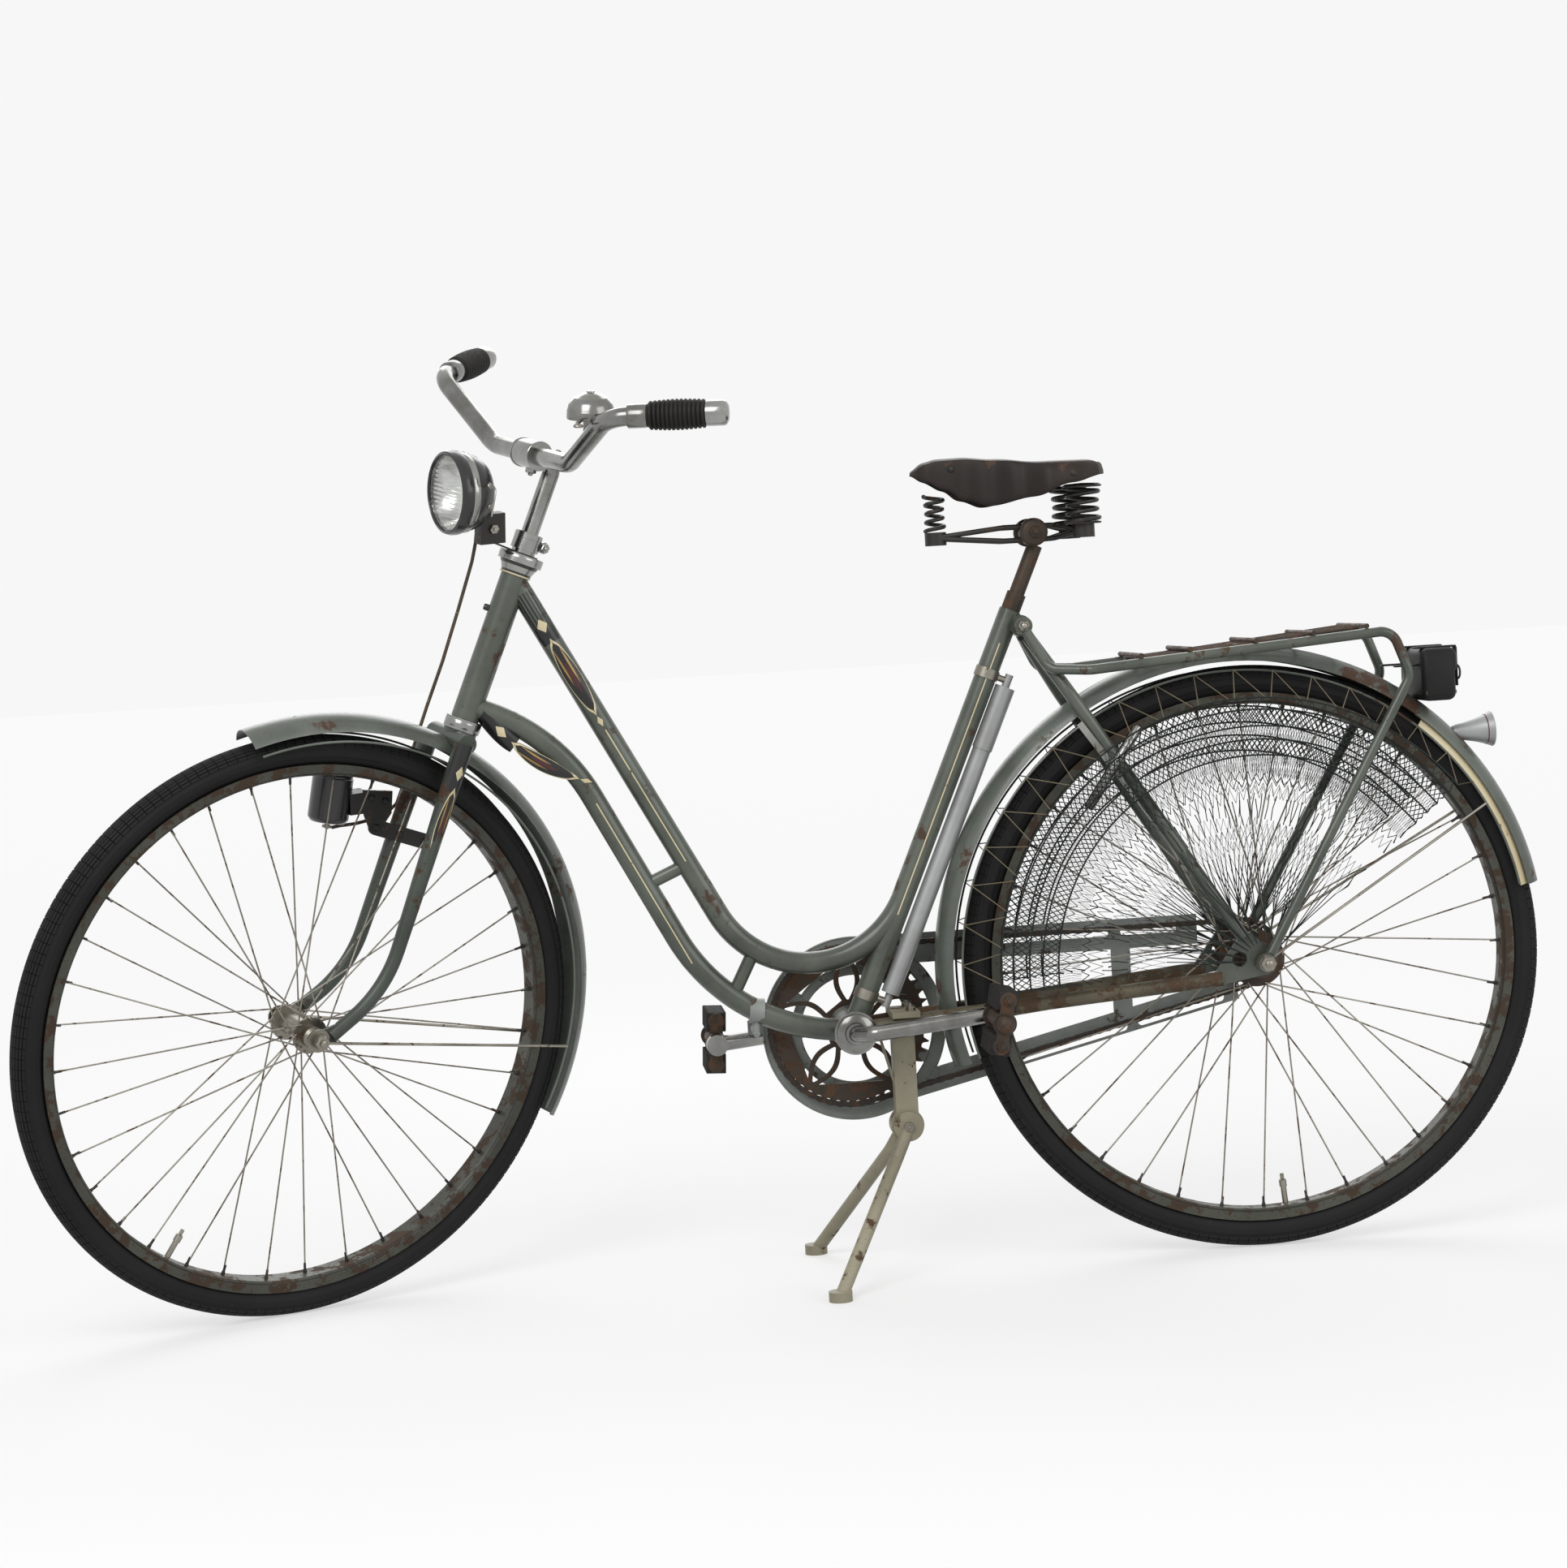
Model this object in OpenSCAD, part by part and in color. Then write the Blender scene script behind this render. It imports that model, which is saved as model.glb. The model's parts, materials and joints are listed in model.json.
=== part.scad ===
// Step-through roadster bicycle, steered to its left and parked on its twin-leg centre stand.
// Millimetres. +X points forward, +Y to the rider's left, +Z up.
// The origin is the point where the rear tyre meets the floor.

/* [Wheels] */
// Outer radius of both tyres
tyre_r = 356; // [340:1:370]
// Width of both tyres
tyre_w = 39; // [34:1:42]
// Inner radius of both rims
rim_inner_r = 309; // [300:1:312]
// Number of spokes in each wheel, in steps of four
spoke_count = 36; // [28:4:40]
// Thickness of a spoke
spoke_d = 2; // [1.6:0.1:2.4]

/* [Frame] */
// Angle of the steering axis above the floor, in degrees
head_angle = 67.2; // [66:0.1:69]
// Distance from the origin to where the steering axis meets the floor
axis_floor_x = 1234; // [1210:1:1270]
// Forward offset of the front axle from the steering axis
fork_offset = 73.6; // [60:0.1:85]
// Length of the head tube
head_len = 197; // [170:1:210]
// Diameter of the head tube
head_d = 34; // [32:0.5:38]
// Diameter of the two main tubes
main_d = 27; // [24:0.5:27.5]
// Diameter of the seat tube
seat_d = 27; // [26:0.1:30]
// Distance from the origin forward to the bottom bracket
bracket_x = 494; // [485:1:515]
// Height of the bottom bracket
bracket_z = 299; // [290:1:310]
// Angle of the seat tube above the floor, in degrees
seat_angle = 66.1; // [65:0.1:67]
// Length of the seat tube from the bottom bracket
seat_len = 542; // [520:1:580]

/* [Steering] */
// How far the bars are turned to the left, in degrees
steer_rest = 29.3; // [0:0.1:30]
// Half of the width over the handlebar ends
bar_half_w = 293; // [275:1:310]
// Diameter of the handlebar tube
bar_d = 22; // [20:0.5:24]
// Diameter of the headlamp
lamp_d = 100; // [85:1:110]

/* [Drive] */
// Teeth on the chainring
ring_teeth = 48; // [44:1:50]
// Teeth on the rear sprocket
sprocket_teeth = 20; // [16:1:22]
// Distance between two chain rollers
chain_pitch = 12.7; // [12.7]
// Length of each crank arm
crank_len = 162; // [155:1:170]
// Angle of the left crank arm, from forward towards up
crank_rest = 174; // [165:0.5:185]
// Sideways distance of the chain from the middle of the frame
chain_line = 44; // [43:0.5:45]

/* [Seat and rack] */
// How far the seat post stands out of the seat tube
post_out = 84; // [60:1:95]
// Length of the saddle
saddle_len = 232; // [215:1:245]
// Width of the saddle at the back
saddle_w = 190; // [160:1:210]
// Half of the width of the rack
rack_half_w = 69; // [67:0.5:75]

/* [Stand] */
// Height of the stand's pivot
stand_pivot_z = 180; // [172:1:188]
// How far each foot is from the middle of the bicycle
foot_half_w = 152; // [130:1:165]
// How far forward of the origin the feet stand
foot_x = 541; // [525:1:555]

/* [Hidden] */
$fn = 48;

// Colours
enamel = [0.36, 0.40, 0.37];
dark = [0.12, 0.12, 0.12];
bright = [0.72, 0.72, 0.70];
rusty = [0.36, 0.26, 0.19];
hide = [0.22, 0.15, 0.12];

// Clearances
gap = 0.3;
running = 0.05;
weld_gap = 0.15;

// Wheels
tyre_sec_r = tyre_w / 2;
tyre_mid_r = tyre_r - tyre_sec_r;
spoke_short = 0.5;
rim_outer_r = tyre_mid_r - 13.5;
rim_half_w = tyre_sec_r - 2.5;
axle_r = 4.8;

// Steering axis: along_axis(s) is the point s millimetres up the axis from the floor
axis_up = [-cos(head_angle), 0, sin(head_angle)];
axis_fore = [sin(head_angle), 0, cos(head_angle)];
function along_axis(s, fore = 0) = [axis_floor_x, 0, 0] + s * axis_up + fore * axis_fore;
function lift(p, y) = [p.x, y, p.z];
function lerp(a, b, part) = a + part * (b - a);

// The steered tyre just touches the floor, which sets the height of the front axle
wheel_lean = cos(head_angle) * sin(steer_rest);
steered_axle_z = tyre_mid_r * sqrt(1 - wheel_lean * wheel_lean) + tyre_sec_r;
front_axle_z = steered_axle_z + fork_offset * cos(head_angle) * (1 - cos(steer_rest));
axle_s = (front_axle_z - fork_offset * cos(head_angle)) / sin(head_angle);
front_hub_p = along_axis(axle_s, fork_offset);
rear_hub_p = [0, 0, tyre_r];

// Head tube and its bearings, as distances up the steering axis
head_low_s = axle_s + tyre_r + 54;
head_top_s = head_low_s + head_len;
low_cup_h = 14;
top_cup_h = 12;
ring_h = 11;
nut_top_s = head_top_s + 16;
collar_h = 22;
steerer_r = 12.7;

// Fenders
rear_fender_r = tyre_r + 22;
rear_fender_p = rear_hub_p + [12, 0, 3];
rear_fender_half = 28;
front_fender_r = tyre_r + 8;
front_fender_p = front_hub_p + [-22, 0, 15];
front_fender_half = 27;

// Frame points
bracket_p = [bracket_x, 0, bracket_z];
seat_dir = [-cos(seat_angle), 0, sin(seat_angle)];
seat_top_p = bracket_p + seat_len * seat_dir;
post_top_p = seat_top_p + post_out * seat_dir;
upper_slope = 62.1;
upper_bend_r = 126;
cluster_p = seat_top_p + [-10, 0, -19];

// Rear triangle
dropout_y = 60;
dropout_t = 5;
chain_stay_r = 9;
seat_stay_r = 8;

// Drive
ring_pitch_r = chain_pitch / (2 * sin(180 / ring_teeth));
sprocket_pitch_r = chain_pitch / (2 * sin(180 / sprocket_teeth));
chain_t = 8;
chain_w = 7.5;
root_gap = 4.6;
pedal_y = 132;
pedal_half_len = 43.5;
crank_y = 78;
function crank_end(side) = bracket_p + side * crank_len * [cos(crank_rest), 0, sin(crank_rest)];

// Saddle
saddle_back_x = post_top_p.x - 82;
saddle_top_z = post_top_p.z + 98;

// Stand
stand_pivot_p = [bracket_x - 59, 0, stand_pivot_z];
stand_boss_r = 20;

// Lamp wire, from the headlamp down behind the crown to the dynamo
wire_route = [[912, -11, 934], [914, -12, 912], [918, -14, 890], [929, -30, 831], [945, -43, 766],
    [961, -54, 712], [978, -59, 661], [992, -61, 615], [1001, -61, 594], [1014, -62, 584],
    [1034, -63, 578], [1056, -62, 576], [1078, -59, 577], [1089, -56.5, 577]];

// ---------- Shared shapes ----------

// Turns its children so that their +Z points along a direction
module aim(p, d) {
    u = d / norm(d);
    translate(p) rotate([0, acos(u.z), atan2(u.y, u.x)]) children();
}

// A round rod between two points, tapered if a second radius is given
module rod(a, b, r, r2 = -1) {
    aim(a, b - a) cylinder(h = norm(b - a), r1 = r, r2 = r2 < 0 ? r : r2);
}

// A round bar along Y
module cross_rod(x, z, y0, y1, r) {
    rod([x, y0, z], [x, y1, z], r);
}

// The corner of a bent rod: an arc of radius bend that is tangent to both of its legs, with a
// collar 0.06 mm proud over each end, where it meets the straight rod
function leg(a, b) = (b - a) / norm(b - a);
function turn_at(p, i) = acos(leg(p[i - 1], p[i]) * leg(p[i], p[i + 1]));
function tangent_at(p, bend, i) = i == 0 || i == len(p) - 1 ? 0 : bend * tan(turn_at(p, i) / 2);

module bend_arc(a, b, c, bend, r) {
    u = leg(a, b);
    w = leg(b, c);
    turn = acos(u * w);
    side = (w - (w * u) * u) / norm(w - (w * u) * u);
    x = -side;
    z = cross(x, u);
    m = b - bend * tan(turn / 2) * u + bend * side;
    trim = 0.2 / bend * 180 / PI;
    multmatrix([[x.x, u.x, z.x, m.x], [x.y, u.y, z.y, m.y], [x.z, u.z, z.z, m.z], [0, 0, 0, 1]])
        rotate([0, 0, trim]) rotate_extrude(angle = turn - 2 * trim) translate([bend, 0]) circle(r = r);
    start = b - bend * tan(turn / 2) * u;
    end = b + bend * tan(turn / 2) * w;
    rod(start - 0.6 * u, start + 0.6 * u, r + 0.06);
    rod(end - 0.6 * w, end + 0.6 * w, r + 0.06);
}

// A round rod that follows the points p and is bent to one radius at each of its corners
module bent_rod(p, bend, r) {
    for (i = [0 : len(p) - 2]) {
        u = leg(p[i], p[i + 1]);
        t0 = tangent_at(p, bend, i);
        t1 = tangent_at(p, bend, i + 1);
        rod(p[i] + (t0 + (t0 > 0 ? 0.2 : 0)) * u, p[i + 1] - (t1 + (t1 > 0 ? 0.2 : 0)) * u, r);
    }
    for (i = [1 : 1 : len(p) - 2])
        bend_arc(p[i - 1], p[i], p[i + 1], bend, r);
}

// Puts children on the left and, mirrored, on the right
module both_sides() {
    children();
    mirror([0, 1, 0]) children();
}

// Turns whatever is carried by the fork to the left, about the steering axis
module steered() {
    translate([axis_floor_x, 0, 0]) rotate([0, head_angle - 90, 0]) rotate([0, 0, steer_rest])
        rotate([0, 90 - head_angle, 0]) translate([-axis_floor_x, 0, 0]) children();
}

// A ring around the Y axis at a point, made by turning a profile of radius against width
module turned(p, angle = 360, start = 0) {
    translate(p) rotate([90, 0, 0]) rotate([0, 0, start]) rotate_extrude(angle = angle, $fn = 96)
        children();
}

// ---------- Wheels ----------

module rim_profile() {
    polygon([[rim_inner_r, -rim_half_w + 5], [rim_inner_r + 4, -rim_half_w],
        [rim_outer_r, -rim_half_w], [rim_outer_r, -rim_half_w + 2.5],
        [rim_inner_r + 6, -rim_half_w + 5], [rim_inner_r + 6, rim_half_w - 5],
        [rim_outer_r, rim_half_w - 2.5], [rim_outer_r, rim_half_w],
        [rim_inner_r + 4, rim_half_w], [rim_inner_r, rim_half_w - 5]]);
}

module tyre_at(p) {
    color(dark) turned(p) difference() {
        translate([tyre_mid_r, 0]) circle(r = tyre_sec_r);
        translate([tyre_mid_r, 0]) circle(r = tyre_sec_r - 3.5);
        translate([0, -rim_half_w + 5]) square([rim_outer_r + 2, 2 * rim_half_w - 10]);
        rim_profile();
    }
}

module rim_at(p) {
    color(enamel) turned(p) rim_profile();
}

// Each spoke leaves the flange on one face and leans forward or back to its hole in the rim
module spokes_at(p, flange_y, flange_r) {
    color(bright) for (i = [0 : spoke_count - 1]) {
        side = i % 2 == 0 ? 1 : -1;
        lean = floor(i / 2) % 2 == 0 ? 1 : -1;
        a = i * 360 / spoke_count;
        b = a + lean * 55;
        hub_y = side * (flange_y + lean * (1.6 + spoke_d / 2));
        rim_y = side * (3.2 + lean * 0.9);
        rod(p + [flange_r * cos(b), hub_y, flange_r * sin(b)],
            p + [(rim_inner_r - spoke_short) * cos(a), rim_y, (rim_inner_r - spoke_short) * sin(a)], spoke_d / 2);
    }
}

// Outline of a hub: half length, shell radius, flange place and flange radius
module hub_profile(half, shell_r, flange_y, flange_r) {
    bore = axle_r + running;
    polygon([[bore, -half], [shell_r - 3, -half], [shell_r, -half + 4], [shell_r, -flange_y - 1.5],
        [flange_r, -flange_y - 1.5], [flange_r, -flange_y + 1.5], [shell_r, -flange_y + 1.5],
        [shell_r, flange_y - 1.5], [flange_r, flange_y - 1.5], [flange_r, flange_y + 1.5],
        [shell_r, flange_y + 1.5], [shell_r, half - 4], [shell_r - 3, half], [bore, half]]);
}

front_flange_y = 31;
front_flange_r = 22;
rear_flange_y = 29;
rear_flange_r = 34;

module front_tyre() steered() tyre_at(front_hub_p);
module front_rim() steered() rim_at(front_hub_p);
module front_spokes() steered() spokes_at(front_hub_p, front_flange_y, front_flange_r - 3);
module front_hub() steered() color(bright) turned(front_hub_p)
    hub_profile(46, 13, front_flange_y, front_flange_r);
module rear_tyre() tyre_at(rear_hub_p);
module rear_rim() rim_at(rear_hub_p);
module rear_spokes() spokes_at(rear_hub_p, rear_flange_y, rear_flange_r - 3);

// The sprocket is on the right-hand end of the rear hub
module rear_hub() {
    color(rusty) {
        turned(rear_hub_p) hub_profile(52, 22, rear_flange_y, rear_flange_r);
        difference() {
            cross_rod(0, tyre_r, -chain_line - 1.2, -chain_line + 1.2, sprocket_pitch_r - root_gap);
            cross_rod(0, tyre_r, -chain_line - 3, -chain_line + 3, 15);
        }
    }
}

// ---------- Frame ----------

module head_outer() {
    rod(along_axis(head_low_s), along_axis(head_top_s - top_cup_h), head_d / 2);
}

module head_tube() {
    color(enamel) difference() {
        head_outer();
        rod(along_axis(head_low_s - 1), along_axis(head_top_s + 1), head_d / 2 - 2.2);
    }
}

module headset_cups() {
    color(bright) difference() {
        union() {
            rod(along_axis(head_low_s - low_cup_h), along_axis(head_low_s), 22);
            rod(along_axis(head_top_s - top_cup_h), along_axis(head_top_s), head_d / 2 + 1, 23.5);
        }
        rod(along_axis(head_low_s - 20), along_axis(head_top_s + 20), steerer_r + 0.5);
    }
}

// Where the straight front run of the upper tube would meet the seat tube's line
upper_head_p = along_axis(head_top_s - 20);
upper_dir = [-cos(upper_slope), 0, -sin(upper_slope)];
meet_t = ((bracket_p.x - upper_head_p.x) * seat_dir.z - (bracket_p.z - upper_head_p.z) * seat_dir.x)
    / (upper_dir.x * seat_dir.z - upper_dir.z * seat_dir.x);
upper_meet_p = upper_head_p + meet_t * upper_dir;
upper_turn = acos(upper_dir * seat_dir);
upper_tangent = upper_bend_r * tan(upper_turn / 2);

upper_points = [upper_head_p, upper_meet_p, upper_meet_p + (upper_tangent + 3) * seat_dir];

module upper_tube_outer() {
    bent_rod(upper_points, upper_bend_r, main_d / 2);
}

module upper_tube() {
    color(enamel) difference() {
        upper_tube_outer();
        rod(along_axis(head_low_s), along_axis(head_top_s + 40), head_d / 2 + weld_gap);
        rod(along_axis(head_top_s - top_cup_h - gap), along_axis(head_top_s + 40), 24);
        rod(bracket_p, seat_top_p, seat_d / 2 + weld_gap);
    }
}

lower_head_p = along_axis(head_low_s + 16.6);
lower_points = [lower_head_p, lower_head_p + 108.3 * [-cos(22), 0, -sin(22)],
    bracket_p + 149 * [cos(5), 0, sin(5)], bracket_p];
lower_bend_r = 232;

module lower_tube_outer() {
    bent_rod(lower_points, lower_bend_r, main_d / 2);
}

module lower_tube() {
    color(enamel) difference() {
        lower_tube_outer();
        head_outer();
        shell_outer();
        seat_outer();
    }
}

// The two struts run between the middle lines of the main tubes
function bend_point(p, bend, i, part) =
    let (u = leg(p[i - 1], p[i]), w = leg(p[i], p[i + 1]), turn = turn_at(p, i),
        side = (w - (w * u) * u) / norm(w - (w * u) * u))
    p[i] - bend * tan(turn / 2) * u + bend * side
        + bend * (sin(part * turn) * u - cos(part * turn) * side);
front_strut = [lower_points[1] + 211 * leg(lower_points[1], lower_points[2]),
    upper_head_p + 400 * upper_dir];
low_strut = [bend_point(lower_points, lower_bend_r, 2, 0.43),
    bend_point(upper_points, upper_bend_r, 1, 0.224)];
strut_r = 8.2;

module cross_struts() {
    color(enamel) difference() {
        union() {
            rod(front_strut[0], front_strut[1], strut_r);
            rod(low_strut[0], low_strut[1], strut_r);
        }
        upper_tube_outer();
        lower_tube_outer();
    }
}

module seat_outer() {
    rod(bracket_p, seat_top_p, seat_d / 2);
}

lug_half_w = 12;

module seat_tube() {
    color(enamel) difference() {
        union() {
            seat_outer();
            cross_rod(cluster_p.x, cluster_p.z, -lug_half_w, lug_half_w, 13);
        }
        shell_outer();
        rod(bracket_p, seat_top_p + 5 * seat_dir, seat_d / 2 - 1.8);
        cross_rod(cluster_p.x, cluster_p.z, -30, 30, 5);
    }
}

shell_half_w = 35;
shell_r = 22;

module shell_outer() {
    cross_rod(bracket_x, bracket_z, -shell_half_w, shell_half_w, shell_r);
}

module bottom_bracket() {
    color(enamel) difference() {
        shell_outer();
        cross_rod(bracket_x, bracket_z, -shell_half_w - 1, shell_half_w + 1, 17.5);
    }
}

module bearing_cups() {
    color(bright) both_sides() difference() {
        union() {
            cross_rod(bracket_x, bracket_z, shell_half_w - 12, shell_half_w, 17.5);
            cross_rod(bracket_x, bracket_z, shell_half_w, shell_half_w + 2.4, 26);
        }
        cross_rod(bracket_x, bracket_z, shell_half_w - 20, shell_half_w + 20, 9.5 + running);
    }
}

function dropout_lug(dx, dz) = rear_hub_p + [dx, dropout_y, dz];
chain_stay_points = [bracket_p + [-10, 22, 3], bracket_p + [-112, 28, 12], dropout_lug(50, -18)];
seat_stay_points = [cluster_p + [-7, 17, -14], rear_hub_p + [215, 42, 337], dropout_lug(22, 30)];

module chain_stays() {
    color(enamel) both_sides() difference() {
        bent_rod(chain_stay_points, 60, chain_stay_r);
        shell_outer();
        seat_outer();
    }
}

module seat_stays() {
    color(enamel) both_sides() difference() {
        bent_rod(seat_stay_points, 60, seat_stay_r);
        seat_outer();
        cross_rod(cluster_p.x, cluster_p.z, -lug_half_w, lug_half_w, 13);
        cross_rod(cluster_p.x, cluster_p.z, lug_half_w, 40, 5);
    }
}

// A flat plate with arms to the two stays and a boss for the axle
module dropout_plate() {
    translate([0, dropout_y + dropout_t / 2, tyre_r]) rotate([90, 0, 0])
        linear_extrude(dropout_t) difference() {
            union() {
                circle(r = 17);
                polygon([[-10, 14], [14, 36], [28, 30], [58, -10], [56, -26], [0, -17]]);
            }
            translate([28, 4]) circle(r = 9);
            circle(r = axle_r);
        }
}

module rear_dropouts() {
    color(enamel) both_sides() difference() {
        dropout_plate();
        bent_rod(chain_stay_points, 60, chain_stay_r);
        bent_rod(seat_stay_points, 60, seat_stay_r);
    }
}

strut_y = rack_half_w + 12;

module rear_axle() {
    color(bright) {
        cross_rod(0, tyre_r, -strut_y - 10, strut_y + 10, axle_r);
        both_sides() {
            cross_rod(0, tyre_r, 62.5, 74, 11);
            cross_rod(0, tyre_r, strut_y + 2.5, strut_y + 9, 10);
        }
    }
}

// ---------- Saddle ----------

post_r = 9.4;

module seat_post() {
    color(rusty) {
        rod(seat_top_p - 90 * seat_dir, seat_top_p + 22 * seat_dir, seat_d / 2 - 1.8);
        rod(seat_top_p + 22 * seat_dir, post_top_p, post_r);
    }
}

// The saddle's outer shape, or the same shape shrunk by a wall thickness
module saddle_solid(inset) {
    back = [saddle_back_x, 0, saddle_top_z];
    hull() {
        translate(back + [24, saddle_w / 2 - 26, -24]) sphere(r = 24 - inset, $fn = 24);
        translate(back + [24, -saddle_w / 2 + 26, -24]) sphere(r = 24 - inset, $fn = 24);
        translate(back + [92, 0, -24]) sphere(r = 28 - inset, $fn = 24);
        translate(back + [34, 0, -26]) sphere(r = 24 - inset, $fn = 24);
    }
    hull() {
        translate(back + [92, 0, -24]) sphere(r = 28 - inset, $fn = 24);
        translate(back + [saddle_len - 46, 0, -8]) sphere(r = 22 - inset, $fn = 24);
        translate(back + [saddle_len - 12, 0, -20]) sphere(r = 12 - inset, $fn = 24);
    }
    hull() {
        translate(back + [70, 38, -34]) sphere(r = 16 - inset, $fn = 24);
        translate(back + [70, -38, -34]) sphere(r = 16 - inset, $fn = 24);
        translate(back + [160, 26, -50]) sphere(r = 10 - inset, $fn = 24);
        translate(back + [160, -26, -50]) sphere(r = 10 - inset, $fn = 24);
        translate(back + [170, 0, -20]) sphere(r = 24 - inset, $fn = 24);
    }
}

module saddle_leather() {
    color(hide) difference() {
        saddle_solid(0);
        translate([0, 0, -0.1]) saddle_solid(5);
        translate([saddle_back_x - 50, -150, saddle_top_z - 170]) cube([400, 300, 116]);
        translate([saddle_back_x - 50, -150, saddle_top_z - 100]) cube([118, 300, 62]);
    }
}

rail_z = post_top_p.z + 15;
rear_spring_p = [saddle_back_x + 30, 52, rail_z];
nose_spring_p = [saddle_back_x + saddle_len - 30, 0, rail_z];

module saddle_frame() {
    color(rusty) difference() {
        union() {
            both_sides() for (dz = [-8, 8])
                bent_rod([nose_spring_p + [6, 6, 0], [post_top_p.x + 40, 20, rail_z + dz],
                    [post_top_p.x - 20, 20, rail_z + dz], rear_spring_p], 12, 3.2);
            cross_rod(post_top_p.x + 4, rail_z, -30, 30, 14);
            rod(nose_spring_p - [0, 0, 9], nose_spring_p + [0, 0, 7], 13);
            both_sides() rod(rear_spring_p - [0, 0, 9], rear_spring_p + [0, 0, 7], 13);
        }
        rod(seat_top_p, post_top_p, post_r);
    }
}

module saddle_springs() {
    color(rusty) difference() {
        union() {
            rod(nose_spring_p + [0, 0, 7], nose_spring_p + [0, 0, 66], 13);
            both_sides() rod(rear_spring_p + [0, 0, 7], rear_spring_p + [0, 0, 63], 22);
        }
        saddle_solid(0);
    }
}

// ---------- Rack ----------

rack_r = 6;
rack_front_p = [192, rack_half_w, 719];
rack_back_p = [-176, rack_half_w, 745];
rack_points = [cluster_p + [0, 30, 0], rack_front_p + [46, -25, 3], rack_front_p,
    rack_back_p, rack_back_p + [-20, 0, -55], [0, strut_y, tyre_r]];
function rack_z(x) = rack_front_p.z
    + (rack_front_p.x - x) * (rack_back_p.z - rack_front_p.z) / (rack_front_p.x - rack_back_p.x);

module rack_frame() {
    color(enamel) both_sides() difference() {
        union() {
            bent_rod(rack_points, 22, rack_r);
            cross_rod(cluster_p.x, cluster_p.z, 27, 34, 11);
            cross_rod(0, tyre_r, strut_y - 2.5, strut_y + 2.5, 11);
        }
        cross_rod(0, tyre_r, 60, 100, axle_r);
        cross_rod(0, tyre_r, 60, strut_y - 2.5, 13);
        cross_rod(0, tyre_r, strut_y + 2.5, strut_y + 20, 13);
        cross_rod(cluster_p.x, cluster_p.z, 0, 60, 5);
        bent_rod(seat_stay_points, 60, seat_stay_r + gap);
    }
    color(bright) cross_rod(cluster_p.x, cluster_p.z, -40, 40, 5);
}

rack_rod_r = 3;

module rack_rods() {
    color(rusty) for (x = [130, 70, -10, -80, -145])
        cross_rod(x, rack_z(x) + rack_r + rack_rod_r, -rack_half_w - 2, rack_half_w + 2, rack_rod_r);
}

// The room that a fender takes, with a small gap around it
module fender_room(p, r, half) {
    turned(p) translate([r - half - 3, 0]) circle(r = half + 3 + gap);
}

module tool_bag() {
    color(dark) difference() {
        translate([rack_back_p.x - 83, -55, rack_back_p.z - 91]) cube([46, 110, 66]);
        fender_room(rear_fender_p, rear_fender_r, rear_fender_half);
    }
}

module tail_lamp() {
    back = rear_fender_p + (rear_fender_r + 35) * [-0.783, 0, 0.622];
    color(bright) difference() {
        rod(back + [50, 0, -2], back, 9, 21);
        fender_room(rear_fender_p, rear_fender_r, rear_fender_half);
    }
}

// ---------- Fenders ----------

// Rounded channel of a fender, its crown at radius r
module fender_profile(r, half) {
    curve = half + 3;
    difference() {
        translate([r - curve, 0]) circle(r = curve);
        translate([r - curve, 0]) circle(r = curve - 1.2);
        translate([r - 2 * curve - 1, -curve - 1]) square([curve + 1 + 12, 2 * curve + 2]);
    }
}

module rear_fender() {
    color(enamel) difference() {
        turned(rear_fender_p, 187, -17.5) fender_profile(rear_fender_r, rear_fender_half);
        both_sides() bent_rod(chain_stay_points, 60, chain_stay_r);
        both_sides() bent_rod(seat_stay_points, 60, seat_stay_r);
    }
}

// A thin stay from the side of a fender to an eye on the axle
module fender_stay(eye, edge, width) {
    difference() {
        union() {
            rod(edge, eye + 6 * leg(eye, edge) + [0, 0.4, 0], stay_r);
            rod(eye - [0, width / 2, 0], eye + [0, width / 2, 0], 8.5);
        }
        rod(eye - [0, width, 0], eye + [0, width, 0], axle_r);
    }
}

stay_r = 1.8;
rear_nut_y = 74;
front_nut_y = 63;

function fender_side(p, r, half, a) =
    p + [(r - half - 3) * cos(a), half + 3 + stay_r + gap, (r - half - 3) * sin(a)];

module rear_fender_stays() {
    color(bright) both_sides() fender_stay([0, rear_nut_y + 2.2, tyre_r],
        fender_side(rear_fender_p, rear_fender_r, rear_fender_half, 151), 4.2);
}

module front_fender_stays() {
    steered() color(bright) both_sides() fender_stay(front_hub_p + [0, front_nut_y + 2.2, 0],
        fender_side(front_fender_p, front_fender_r, front_fender_half, 195), 4.2);
}

module front_fender() {
    steered() color(enamel) turned(front_fender_p, 133, 77)
        fender_profile(front_fender_r, front_fender_half);
}

// ---------- Skirt guards ----------

guard_net_r = 322;

module skirt_guard_shell() {
    turned(rear_hub_p, 145, -3.5)
        polygon([[11.2, 73], [guard_net_r, 63], [guard_net_r, 64], [11.2, 74]]);
}

module skirt_guard_left() color(dark) mirror([0, 1, 0]) skirt_guard_shell();
module skirt_guard_right() color(dark) skirt_guard_shell();

// ---------- Drive ----------

// Half of the chain's outline: the plane shape of a belt around two circles
module belt(r_front, r_rear) {
    hull() {
        translate([bracket_x, bracket_z]) circle(r = r_front, $fn = 64);
        translate([0, tyre_r]) circle(r = r_rear, $fn = 48);
    }
}

module chain() {
    color(rusty) translate([0, -chain_line + chain_w / 2, 0]) rotate([90, 0, 0])
        linear_extrude(chain_w) difference() {
            belt(ring_pitch_r + chain_t / 2, sprocket_pitch_r + chain_t / 2);
            belt(ring_pitch_r - chain_t / 2, sprocket_pitch_r - chain_t / 2);
        }
}

guard_y = 61.2;
guard_t = 1.5;
guard_p = bracket_p + [-8, 0, -6];
guard_r = 113;

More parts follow.
